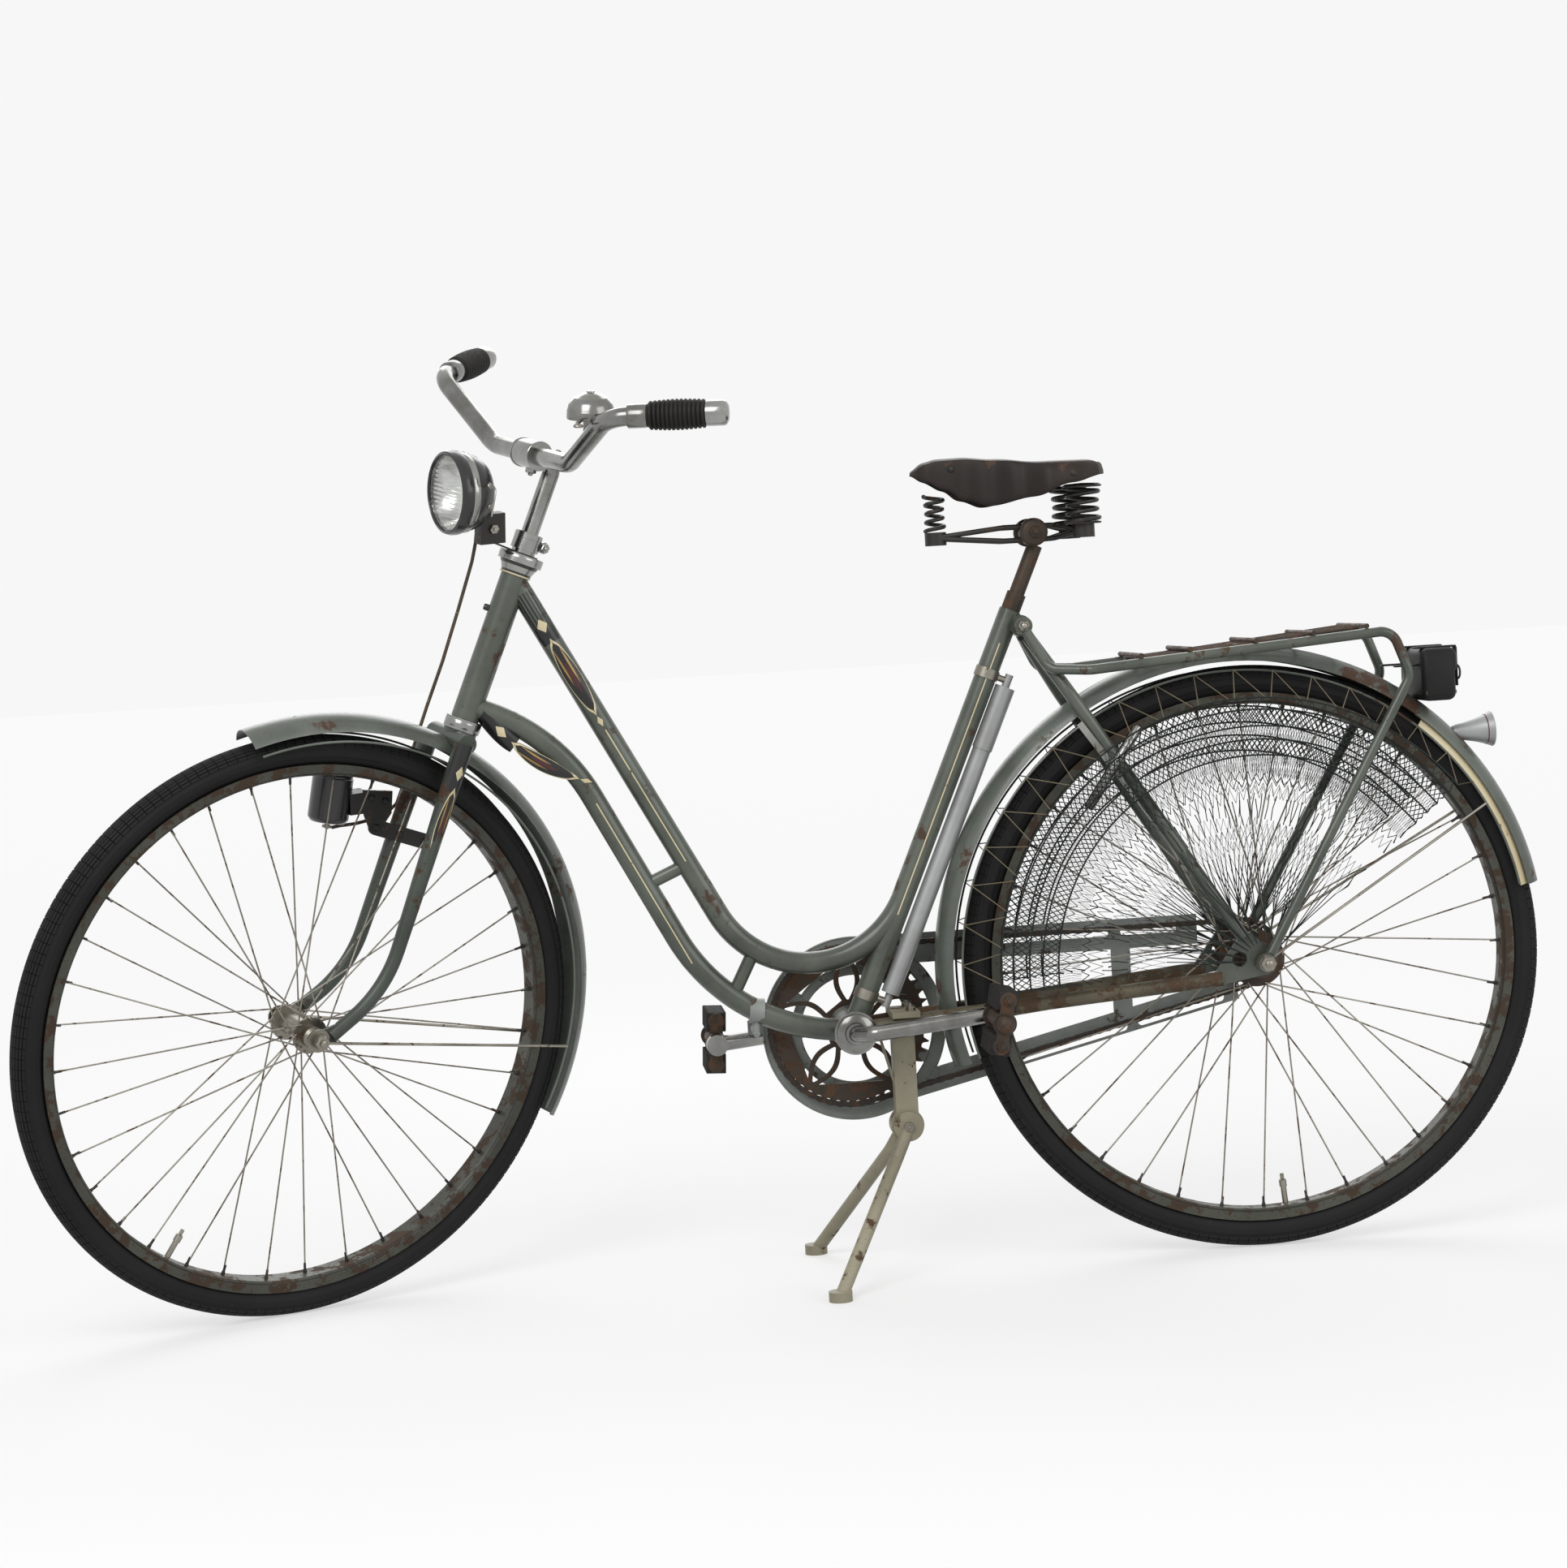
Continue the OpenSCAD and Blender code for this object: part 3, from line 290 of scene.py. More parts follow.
@dataclass(frozen=True)
class Finish:
    """A surface: a clouded base that breaks into patches of rust or bare metal."""

    title: str
    base: Colour
    tone: Colour
    rust: Colour
    metallic: float = 0.0
    roughness: float = 0.45
    rust_roughness: float = 0.85
    rust_metallic: float = 0.0
    level: float = 0.6
    scale: float = 22.0
    cloud: float = 9.0
    grain: float = 900.0
    bump: float = 0.08
    coat: float = 0.0
    shine: float = 0.5

    def material(self) -> bpy.types.Material:
        """Builds the material once.

        Returns:
            The material.
        """
        if self.title in _materials:
            return _materials[self.title]
        made = bpy.data.materials.new(self.title)
        made.use_nodes = True
        sheet = Sheet(made.node_tree)
        shader = made.node_tree.nodes["Principled BSDF"]
        patches = sheet.add("ShaderNodeGroup", node_tree=PATCHES)
        patches.inputs["Scale"].default_value = self.scale
        patches.inputs["Level"].default_value = self.level
        clouds = sheet.add("ShaderNodeGroup", node_tree=CLOUDS)
        clouds.inputs["Scale"].default_value = self.cloud
        clouds.inputs["Grain"].default_value = self.grain
        both = sheet.add(
            "ShaderNodeMath", {0: patches.outputs["Mask"], 1: patches.outputs["Speck"]},
            operation="MAXIMUM"
        )
        worn = both.outputs[0]
        ground = sheet.mix(clouds.outputs["Tone"], self.base, self.tone)
        deep = tuple(c * 0.55 for c in self.rust)
        rust = sheet.mix(clouds.outputs["Grain"], deep, self.rust)
        link = made.node_tree.links.new
        link(sheet.mix(worn, ground, rust), shader.inputs["Base Color"])
        link(sheet.blend(worn, self.roughness, self.rust_roughness), shader.inputs["Roughness"])
        if self.metallic != self.rust_metallic:
            link(sheet.blend(worn, self.metallic, self.rust_metallic), shader.inputs["Metallic"])
        else:
            shader.inputs["Metallic"].default_value = self.metallic
        shader.inputs["Coat Weight"].default_value = self.coat
        shader.inputs["Specular IOR Level"].default_value = self.shine
        height = sheet.add("ShaderNodeMath", {0: clouds.outputs["Grain"], 1: worn}, operation="ADD")
        bump = sheet.add(
            "ShaderNodeBump",
            {"Height": height.outputs[0], "Strength": self.bump, "Distance": 0.0006}
        )
        link(bump.outputs[0], shader.inputs["Normal"])
        _materials[self.title] = made
        return made


@dataclass(frozen=True)
class Plain:
    """A surface of one colour, for glass, thread and thin lines."""

    title: str
    base: Colour
    metallic: float = 0.0
    roughness: float = 0.5
    transmission: float = 0.0

    def material(self) -> bpy.types.Material:
        """Builds the material once.

        Returns:
            The material.
        """
        if self.title in _materials:
            return _materials[self.title]
        made = bpy.data.materials.new(self.title)
        made.use_nodes = True
        shader = made.node_tree.nodes["Principled BSDF"]
        sheet = Sheet(made.node_tree)
        clouds = sheet.add("ShaderNodeGroup", node_tree=CLOUDS)
        clouds.inputs["Scale"].default_value = 40.0
        darker = tuple(c * 0.7 for c in self.base)
        if self.transmission:
            shader.inputs["Base Color"].default_value = (*self.base, 1)
        else:
            made.node_tree.links.new(
                sheet.mix(clouds.outputs["Tone"], darker, self.base), shader.inputs["Base Color"]
            )
        shader.inputs["Metallic"].default_value = self.metallic
        shader.inputs["Roughness"].default_value = self.roughness
        shader.inputs["Transmission Weight"].default_value = self.transmission
        _materials[self.title] = made
        return made


class Look(Enum):
    """Every finish on the bicycle."""

    ENAMEL = Finish(
        "grey_green_enamel", srgb(90, 96, 86), srgb(58, 64, 54), srgb(78, 58, 42), roughness=0.34,
        level=0.57, scale=16, coat=0.25
    )
    FENDER = Finish(
        "fender_enamel", srgb(100, 106, 98), srgb(68, 73, 64), srgb(84, 60, 44), roughness=0.34,
        level=0.585, scale=14, coat=0.2
    )
    BLADE = Finish(
        "fork_enamel", srgb(74, 82, 74), srgb(52, 57, 50), srgb(80, 56, 38), roughness=0.4,
        level=0.57, scale=26
    )
    CHAINSTAY = Finish(
        "browned_enamel", srgb(96, 89, 68), srgb(66, 60, 46), srgb(88, 68, 48), roughness=0.5,
        level=0.5, scale=24
    )
    RIM = Finish(
        "rim_enamel", srgb(70, 72, 62), srgb(46, 46, 38), srgb(70, 54, 40), roughness=0.45,
        level=0.5, scale=40
    )
    CHROME = Finish(
        "worn_chrome", srgb(160, 160, 157), srgb(104, 103, 100), srgb(96, 70, 52), metallic=1,
        roughness=0.2, rust_roughness=0.7, level=0.66, scale=40, bump=0.04
    )
    NICKEL = Finish(
        "dull_nickel", srgb(160, 156, 146), srgb(112, 106, 96), srgb(92, 66, 46), metallic=1,
        roughness=0.36, rust_roughness=0.75, level=0.6, scale=50
    )
    RUSTED = Finish(
        "browned_steel", srgb(76, 65, 55), srgb(48, 41, 35), srgb(98, 72, 52), metallic=0.55,
        roughness=0.55, rust_metallic=0.15, level=0.52, scale=60, bump=0.2
    )
    CHAIN = Finish(
        "oily_chain", srgb(60, 53, 47), srgb(36, 32, 29), srgb(88, 68, 52), metallic=0.6,
        roughness=0.5, rust_metallic=0.2, level=0.53, scale=90, bump=0.1
    )
    SPOKE = Finish(
        "spoke_steel", srgb(158, 154, 144), srgb(112, 106, 96), srgb(92, 68, 48), metallic=0.9,
        roughness=0.4, level=0.55, scale=60
    )
    PUMP = Finish(
        "silver_paint", srgb(172, 174, 174), srgb(142, 143, 141), srgb(96, 70, 52), metallic=0.3,
        roughness=0.42, level=0.66, scale=30
    )
    GUARD = Finish(
        "guard_paint", srgb(150, 155, 150), srgb(112, 116, 110), srgb(84, 66, 50), roughness=0.45,
        level=0.6, scale=30
    )
    STAND = Finish(
        "stand_paint", srgb(158, 152, 130), srgb(124, 118, 98), srgb(92, 68, 48), roughness=0.5,
        level=0.56, scale=34
    )
    BLACK = Finish(
        "black_enamel", srgb(26, 26, 27), srgb(14, 14, 15), srgb(70, 56, 44), roughness=0.3,
        level=0.66, scale=30, coat=0.3
    )
    DARKSTEEL = Finish(
        "black_steel", srgb(46, 44, 42), srgb(28, 27, 26), srgb(86, 62, 44), metallic=0.3,
        roughness=0.45, level=0.58, scale=60
    )
    TYRE = Finish(
        "tyre_rubber", srgb(28, 28, 28), srgb(19, 19, 19), srgb(56, 53, 48), roughness=0.7,
        level=0.66, scale=30, bump=0.15, shine=0.25
    )
    RUBBER = Finish(
        "hard_rubber", srgb(38, 36, 34), srgb(26, 25, 24), srgb(64, 56, 48), roughness=0.6,
        level=0.63, scale=60, bump=0.15, shine=0.25
    )
    HIDE = Finish(
        "saddle_hide", srgb(54, 43, 37), srgb(34, 28, 25), srgb(86, 64, 50), roughness=0.5,
        rust_roughness=0.6, level=0.6, scale=26, grain=1400, bump=0.25, shine=0.25
    )
    BAG = Finish(
        "black_hide", srgb(22, 22, 22), srgb(14, 14, 14), srgb(44, 38, 33), roughness=0.5,
        rust_roughness=0.6, level=0.64, scale=60, grain=1600, bump=0.3, shine=0.25
    )
    CREAM = Finish(
        "cream_paint", srgb(226, 214, 178), srgb(206, 190, 150), srgb(120, 92, 62), roughness=0.4,
        level=0.64, scale=40
    )
    WIRE = Finish(
        "braided_wire", srgb(104, 88, 72), srgb(64, 54, 46), srgb(150, 140, 122), roughness=0.8,
        level=0.56, scale=300, grain=2600, bump=0.5
    )
    NET = Plain("net_cord", srgb(34, 42, 38), roughness=0.85)
    STRING = Plain("old_string", srgb(126, 116, 94), roughness=0.85)
    GOLD = Plain("gold_line", srgb(176, 142, 84), metallic=0.3, roughness=0.4)
    MAROON = Plain("maroon_line", srgb(74, 34, 32), roughness=0.4)
    INK = Plain("black_panel", srgb(24, 24, 25), roughness=0.32)
    GLASS = Plain("lamp_glass", (0.95, 0.96, 0.95), roughness=0.06, transmission=1.0)
    MIRROR = Plain("lamp_reflector", srgb(226, 226, 222), metallic=1.0, roughness=0.16)
    RED = Plain("red_lens", srgb(92, 16, 14), roughness=0.3)


# ---------------------------------------------------------------- making meshes


def clear_selection() -> None:
    """Leaves edit mode and selects nothing."""
    if bpy.context.object and bpy.context.object.mode != "OBJECT":
        bpy.ops.object.mode_set(mode="OBJECT")
    bpy.ops.object.select_all(action="DESELECT")


def pick(obj: bpy.types.Object) -> None:
    """Selects one object alone and makes it active.

    Args:
        obj: The object.
    """
    clear_selection()
    obj.select_set(True)
    bpy.context.view_layer.objects.active = obj


def move_mesh(obj: bpy.types.Object, matrix: Matrix) -> bpy.types.Object:
    """Moves a mesh inside its object, and clears the object's own place.

    Args:
        obj: The object.
        matrix: The move.

    Returns:
        The object.
    """
    obj.data.transform(matrix @ obj.matrix_basis)
    obj.matrix_basis = Matrix.Identity(4)
    if matrix.determinant() < 0:
        obj.data.flip_normals()
    return obj


def aim(at: Vector, along: Vector) -> Matrix:
    """Gives the matrix that puts +Z along a direction at a point.

    Args:
        at: The point.
        along: The direction.

    Returns:
        The matrix.
    """
    return Matrix.Translation(at) @ along.to_track_quat("Z", "Y").to_matrix().to_4x4()


def tidy(obj: bpy.types.Object) -> bpy.types.Object:
    """Merges doubled points and turns all faces outwards.

    Args:
        obj: The object.

    Returns:
        The object.
    """
    pick(obj)
    bpy.ops.object.mode_set(mode="EDIT")
    bpy.ops.mesh.select_all(action="SELECT")
    bpy.ops.mesh.remove_doubles(threshold=0.00001)
    bpy.ops.mesh.normals_make_consistent(inside=False)
    bpy.ops.object.mode_set(mode="OBJECT")
    return obj


def apply(obj: bpy.types.Object, kind: str, **settings: object) -> bpy.types.Object:
    """Adds a modifier and applies it.

    Args:
        obj: The object.
        kind: The modifier's type.
        **settings: Its settings.

    Returns:
        The object.
    """
    pick(obj)
    modifier = obj.modifiers.new(kind.lower(), kind)
    for key, value in settings.items():
        setattr(modifier, key, value)
    bpy.ops.object.modifier_apply(modifier=modifier.name)
    return obj


def lathe(profile: Sequence[Point], at: Vector, along: Vector, steps: int = 40) -> bpy.types.Object:
    """Turns a profile about an axis.

    Args:
        profile: Pairs of radius and distance along the axis, in millimetres.
        at: Where distance 0 lies.
        along: The axis.
        steps: Facets around.

    Returns:
        The turned piece.
    """
    mesh = bpy.data.meshes.new("turned")
    points = [(r * MM, 0, z * MM) for r, z in profile]
    mesh.from_pydata(points, [(i, i + 1) for i in range(len(points) - 1)], [])
    obj = bpy.data.objects.new("turned", mesh)
    bpy.context.collection.objects.link(obj)
    pick(obj)
    bpy.ops.object.mode_set(mode="EDIT")
    bpy.ops.mesh.select_all(action="SELECT")
    bpy.ops.mesh.spin(steps=steps, angle=TURN, center=(0, 0, 0), axis=(0, 0, 1))
    bpy.ops.object.mode_set(mode="OBJECT")
    return move_mesh(tidy(obj), aim(at, along))


def strands(
    lines: Iterable[Sequence[Vector]], radius: float, sides: int = 0, closed: bool = False
) -> bpy.types.Object:
    """Makes round strands along many lines.

    Args:
        lines: The points of each strand.
        radius: The strands' radius, in millimetres.
        sides: Blender's bevel resolution, 0 for four sides.
        closed: Whether each line closes on itself.

    Returns:
        One mesh of all the strands.
    """
    curve = bpy.data.curves.new("strand", "CURVE")
    curve.dimensions = "3D"
    curve.bevel_depth = radius * MM
    curve.bevel_resolution = sides
    curve.use_fill_caps = True
    for line in lines:
        spline = curve.splines.new("POLY")
        spline.points.add(len(line) - 1)
        spline.use_cyclic_u = closed
        for point, where in zip(spline.points, line):
            point.co = (*where, 1)
    obj = bpy.data.objects.new("strand", curve)
    bpy.context.collection.objects.link(obj)
    pick(obj)
    bpy.ops.object.convert(target="MESH")
    return bpy.context.object


def plate(
    outline: Sequence[Point], holes: Sequence[Sequence[Point]], thick: float, matrix: Matrix,
    edge: float = 0.3
) -> bpy.types.Object:
    """Makes a flat plate with holes from a filled curve.

    Args:
        outline: Corner points in millimetres, in the plate's plane.
        holes: Corner points of each hole.
        thick: Thickness in millimetres.
        matrix: Where the plate's middle and plane go.
        edge: Rounding of its edges in millimetres.

    Returns:
        The plate.
    """
    curve = bpy.data.curves.new("plate", "CURVE")
    curve.dimensions = "2D"
    curve.fill_mode = "BOTH"
    curve.extrude = (thick / 2 - edge) * MM
    curve.bevel_depth = edge * MM
    curve.bevel_resolution = 1
    curve.offset = -edge * MM
    for ring in (outline, *holes):
        spline = curve.splines.new("POLY")
        spline.points.add(len(ring) - 1)
        spline.use_cyclic_u = True
        for point, (x, y) in zip(spline.points, ring):
            point.co = (x * MM, y * MM, 0, 1)
    obj = bpy.data.objects.new("plate", curve)
    bpy.context.collection.objects.link(obj)
    pick(obj)
    bpy.ops.object.convert(target="MESH")
    return move_mesh(bpy.context.object, matrix)


def side_plane(y: float) -> Matrix:
    """Gives the matrix that stands a plate upright along the bicycle.

    Args:
        y: How far left the plate is, in millimetres.

    Returns:
        The matrix: the plate's X goes forward and its Y up.
    """
    return Matrix.Translation((0, y * MM, 0)) @ Matrix.Rotation(math.pi / 2, 4, "X")


def block(size: Vector, matrix: Matrix, edge: float = 1.0, segments: int = 2) -> bpy.types.Object:
    """Makes a rounded block.

    Args:
        size: Its length on each axis, in metres.
        matrix: Its place.
        edge: Rounding in millimetres.
        segments: Facets of the rounding.

    Returns:
        The block.
    """
    clear_selection()
    bpy.ops.mesh.primitive_cube_add(size=1)
    obj = bpy.context.object
    obj.data.transform(Matrix.Diagonal((*size, 1)))
    bpy.ops.object.mode_set(mode="EDIT")
    bpy.ops.mesh.select_all(action="SELECT")
    bpy.ops.mesh.bevel(offset=edge * MM, segments=segments, affect="EDGES")
    bpy.ops.object.mode_set(mode="OBJECT")
    return move_mesh(obj, matrix)


def hex_nut(at: Vector, along: Vector, across: float = 14.0, tall: float = 7.0) -> bpy.types.Object:
    """Makes a chamfered hexagon nut with the rounded end of its bolt.

    Args:
        at: The middle of its seat.
        along: The direction it faces.
        across: Width over the corners, in millimetres.
        tall: Height in millimetres.

    Returns:
        The nut.
    """
    r = across / 2
    nut = lathe([(0, 0), (r, 0), (r, tall - 1), (r - 1.2, tall), (0, tall)], at, along, 6)
    end = lathe(
        [(0, 0), (r * 0.48, 0), (r * 0.48, tall + 2), (r * 0.3, tall + 3), (0, tall + 3.2)], at,
        along, 12
    )
    return joined([nut, end])


def joined(parts: Sequence[bpy.types.Object]) -> bpy.types.Object:
    """Joins pieces into one mesh.

    Args:
        parts: The pieces.

    Returns:
        The joined piece.
    """
    clear_selection()
    for part in parts:
        part.select_set(True)
    bpy.context.view_layer.objects.active = parts[0]
    if len(parts) > 1:
        bpy.ops.object.join()
    return bpy.context.view_layer.objects.active


def repeated(model: bpy.types.Object, matrices: Sequence[Matrix]) -> bpy.types.Object:
    """Copies a model to many places and joins the copies.

    Args:
        model: The piece to copy; it is used up.
        matrices: Where each copy goes.

    Returns:
        All the copies as one mesh.
    """
    copies = []
    for matrix in matrices:
        copy = bpy.data.objects.new(model.name, model.data.copy())
        bpy.context.collection.objects.link(copy)
        copies.append(move_mesh(copy, matrix))
    bpy.data.objects.remove(model)
    return joined(copies)


def mirrored(obj: bpy.types.Object) -> bpy.types.Object:
    """Copies a piece to the other side of the bicycle.

    Args:
        obj: The piece.

    Returns:
        The mirrored copy.
    """
    copy = bpy.data.objects.new(obj.name, obj.data.copy())
    bpy.context.collection.objects.link(copy)
    return move_mesh(copy, Matrix.Scale(-1, 4, LEFT))


def finish_piece(
    obj: bpy.types.Object,
    name: str,
    look: Look,
    body: str,
    stands_for: Sequence[str] = (),
    place_by: Matrix = STRAIGHT,
    smooth: float = 35.0,
) -> bpy.types.Object:
    """Names, shades, dresses and hands over a piece.

    Args:
        obj: The piece.
        name: Its name.
        look: Its finish.
        body: The body it moves with.
        stands_for: CAD nodes it replaces.
        place_by: A last move, such as the turn of the bars.
        smooth: Edges flatter than this many degrees are shaded smooth.

    Returns:
        The piece.
    """
    move_mesh(obj, place_by)
    obj.name = name
    obj.data.name = name
    obj.data.materials.clear()
    obj.data.materials.append(look.value.material())
    pick(obj)
    bpy.ops.object.shade_smooth_by_angle(angle=math.radians(smooth))
    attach(obj, body)
    if stands_for:
        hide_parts(*stands_for)
    log.info("%s: %d faces on %s", name, len(obj.data.polygons), body)
    return obj


# ---------------------------------------------------------------- wheels


def wheel_place(front: bool) -> Matrix:
    """Gives the matrix that puts a wheel made at the origin, axle along Y, in its place.

    Args:
        front: Whether it is the front wheel.

    Returns:
        The matrix.
    """
    if front:
        return STEER @ Matrix.Translation(FRONT_HUB)
    return Matrix.Translation(REAR_HUB)


@dataclass
class Wheel:
    """Tyre, nipples and valve of one wheel."""

    front: bool
    tyre_r: float = 356.0
    tyre_half: float = 19.5
    rim_r: float = 309.0
    spokes: int = 36
    blocks: int = 176
    tread: float = 1.3

    @property
    def key(self) -> str:
        """Name of the wheel's side in the CAD nodes."""
        return "front" if self.front else "rear"

    @property
    def body(self) -> str:
        """Body that the wheel turns with."""
        return f"{self.key}_wheel"

    def tyre(self) -> None:
        """Models the tyre, with tread blocks raised out of its outer faces."""
        clear_selection()
        small = self.tyre_half - self.tread
        big = self.tyre_r - self.tyre_half
        bpy.ops.mesh.primitive_torus_add(
            major_radius=big * MM,
            minor_radius=small * MM,
            major_segments=self.blocks,
            minor_segments=28,
        )
        obj = bpy.context.object
        move_mesh(obj, Matrix.Rotation(math.pi / 2, 4, "X"))
        self.pick_faces(obj, lambda radial, side: radial > big + 0.42 * small and abs(side) > 1.2)
        bpy.ops.mesh.inset(use_individual=True, thickness=0.0007, depth=self.tread * MM)
        bpy.ops.object.mode_set(mode="OBJECT")
        self.pick_faces(obj, lambda radial, side: abs(radial - big) < 3.0 and abs(side) > small - 3)
        bpy.ops.mesh.inset(use_individual=False, thickness=0.0006, depth=0.0005)
        bpy.ops.object.mode_set(mode="OBJECT")
        finish_piece(
            obj, f"{self.key}_tyre_tread", Look.TYRE, self.body, [f"{self.key}_tyre"],
            wheel_place(self.front), 28
        )

    def pick_faces(self, obj: bpy.types.Object, wanted: Callable[[float, float], bool]) -> None:
        """Selects the tyre's faces by place and enters edit mode.

        Args:
            obj: The tyre, around the origin.
            wanted: Tells from a face's radius and side, in millimetres, whether to take it.
        """
        pick(obj)
        bpy.context.tool_settings.mesh_select_mode = (False, False, True)
        bpy.ops.object.mode_set(mode="EDIT")
        bpy.ops.mesh.select_all(action="DESELECT")
        bpy.ops.object.mode_set(mode="OBJECT")
        for face in obj.data.polygons:
            x, y, z = face.center
            face.select = wanted(math.hypot(x, z) / MM, y / MM)
        bpy.ops.object.mode_set(mode="EDIT")

    def nipples(self) -> None:
        """Models the spoke nipples and the valve on the inside of the rim."""
        nipple = lathe(
            [(0, -1), (2.6, -1), (2.4, 3), (1.7, 5), (1.6, 12), (0, 12)], Vector(),
            Vector((0, 0, 1)), 8
        )
        spots = []
        for i in range(self.spokes):
            a = TURN * i / self.spokes
            side = 1 if i % 2 == 0 else -1
            lean = 1 if (i // 2) % 2 == 0 else -1
            out = Vector((math.cos(a), 0, math.sin(a)))
            spots.append(aim(out * self.rim_r * MM + LEFT * side * (3.2 + lean * 0.9) * MM, -out))
        finish_piece(
            repeated(nipple, spots), f"{self.key}_nipples", Look.DARKSTEEL,
            self.body, place_by=wheel_place(self.front)
        )
        a = TURN * (30.5 if self.front else 26.5) / self.spokes
        out = Vector((math.cos(a), 0, math.sin(a)))
        profile = [
            (0, -2), (6, -2), (6, 0), (3.6, 1), (3.6, 22), (4.6, 22), (4.6, 30), (2.4, 32),
            (2.4, 38), (0, 38)
        ]
        valve = lathe(profile, out * self.rim_r * MM, -out, 14)
        finish_piece(
            valve, f"{self.key}_valve", Look.NICKEL, self.body,
            place_by=wheel_place(self.front)
        )

    def rim_lines(self) -> None:
        """Models the two thin painted lines along the rim."""
        lines = []
        for y in (-15.2, 15.2):
            ring = [
                Vector(
                    (math.cos(TURN * i / 120) * 0.3118, y * MM, math.sin(TURN * i / 120) * 0.3118)
                ) for i in range(120)
            ]
            lines.append(ring)
        obj = strands(lines, 0.9, 0, closed=True)
        finish_piece(
            obj, f"{self.key}_rim_lines", Look.DARKSTEEL, self.body,
            place_by=wheel_place(self.front)
        )

    def build(self) -> None:
        """Models everything on the wheel."""
        self.tyre()
        self.nipples()
        self.rim_lines()


class Lace(Enum):
    """How the cords of one band of the net run."""

    HONEYCOMB = 3
    CROSSED = 2
    ZIGZAG = 1


@dataclass
class SkirtNet:
    """The laced cords over one side of the rear wheel."""

    left: bool
    start: float = -3.5
    end: float = 141.5
    columns: int = 104
    seed: int = 11

    def spot(self, radius: float, degrees: float, proud: float = 0.0) -> Vector:
        """Finds a point of the net.

        Args:
            radius: Distance from the hub, in millimetres.
            degrees: Angle from forward towards up.
            proud: How far outside the net's face, in millimetres.

        Returns:
            The point.
        """
        across = 73.5 - (radius - 11.2) * 10 / 311 + proud
        a = math.radians(degrees)
        side = 1 if self.left else -1
        return REAR_HUB + mm(radius * math.cos(a), side * across, radius * math.sin(a))

    def angle(self, step: float, columns: int) -> float:
        """Gives the angle of a column.

        Args:
            step: Column number.
            columns: Columns in the whole net.

        Returns:
            The angle in degrees.
        """
        return self.start + (self.end - self.start) * step / columns

    def zigzag(
        self, low: float, high: float, columns: int, phase: int, shake: float, dice: random.Random
    ) -> list[Vector]:
        """Runs one cord up and down between two radii.

        Args:
            low: Inner radius.
            high: Outer radius.
            columns: Number of ups and downs.
            phase: 0 or 1, which end it starts at.
            shake: Random shift in millimetres.
            dice: Random source.

        Returns:
            The cord's points.
        """
        line = []
        for i in range(2 * columns + 1):
            radius = (high if (i + phase) % 2 else low) + dice.uniform(-shake, shake)
            where = self.angle(i / 2 + dice.uniform(-0.05, 0.05), columns)
            line.append(
                self.spot(radius, min(max(where, self.start), self.end), dice.uniform(-0.4, 0.8))
            )
        return line

    def build(self) -> None:
        """Laces the net band by band from its outer edge to the hub."""
        dice = random.Random(self.seed + self.left)
        bands = [
            (318, 304, Lace.ZIGZAG), (304, 284, Lace.HONEYCOMB), (284, 268, Lace.CROSSED),
            (268, 249, Lace.HONEYCOMB), (249, 222, Lace.CROSSED), (222, 212, Lace.ZIGZAG),
        ]
        lines: list[list[Vector]] = []
        for high, low, lace in bands:
            if lace is Lace.HONEYCOMB:
                rows = 4
                tall = (high - low) / rows
                for row in range(rows):
                    lines.append(
                        self.zigzag(
                            low + row * tall, low + (row + 1) * tall, self.columns, row, 0.5, dice
                        )
                    )
            else:
                for phase in range(lace.value):
                    count = self.columns // (1 if lace is Lace.CROSSED else 2)
                    lines.append(self.zigzag(low, high, count, phase, 0.8, dice))
        for radius in (318, 304, 284, 268, 249):
            lines.append(
                [
                    self.spot(
                        radius, self.angle(i / 2, self.columns), 0.3
                    ) for i in range(2 * self.columns + 1)
                ]
            )
        half = self.columns // 2
        for high, low, phase in ((212, 196, 0), (166, 150, 1), (150, 138, 0), (138, 118, 1)):
            lines.append(self.zigzag(low, high, half, phase, 2.2, dice))
        thin: list[list[Vector]] = []
        for i in range(half):
            a = self.angle(i + 0.5, half)
            if dice.random() < 0.8:
                thin.append(
                    [
                        self.spot(197, a), self.spot(181, a + dice.uniform(-0.6, 0.6)),
                        self.spot(166, a)
                    ]
                )
            knot = self.angle((i // 4) * 4 + 2.5, half)
            thin.append(
                [
                    self.spot(119, a),
                    self.spot(60 + dice.uniform(-5, 8), knot + (a - knot) * 0.25),
                    self.spot(24, knot)
                ]
            )
        name = "left" if self.left else "right"
        cords = strands(lines, 1.05)
        node = "skirt_guard_left" if self.left else "skirt_guard_right"
        guard_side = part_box(node)[0].y > 0
        node = node if guard_side == self.left else (
            "skirt_guard_right" if self.left else "skirt_guard_left"
        )
        finish_piece(cords, f"skirt_net_{name}", Look.NET, "frame", [node])
        finish_piece(strands(thin, 0.62), f"net_threads_{name}", Look.NET, "frame")
        self.lacing(name)

    def lacing(self, name: str) -> None:
        """Ties the net to the holes along the fender's edge.

        Args:
            name: The side's name.
        """
        centre = REAR_HUB + mm(12, 0, 3)
        side = 1 if self.left else -1
        ties = []
        for i in range(19):
            degrees = 2 + i * 8.0
            a = math.radians(degrees)
            hole = centre + mm(349 * math.cos(a), side * 31.6, 349 * math.sin(a))
            for lean in (-3.4, 3.4):
                foot = min(max(degrees + lean, self.start), self.end)
                ties.append([hole, self.spot(318, foot, 0.5)])
        finish_piece(strands(ties, 0.7), f"net_ties_{name}", Look.STRING, "frame")


# ---------------------------------------------------------------- saddle and bag


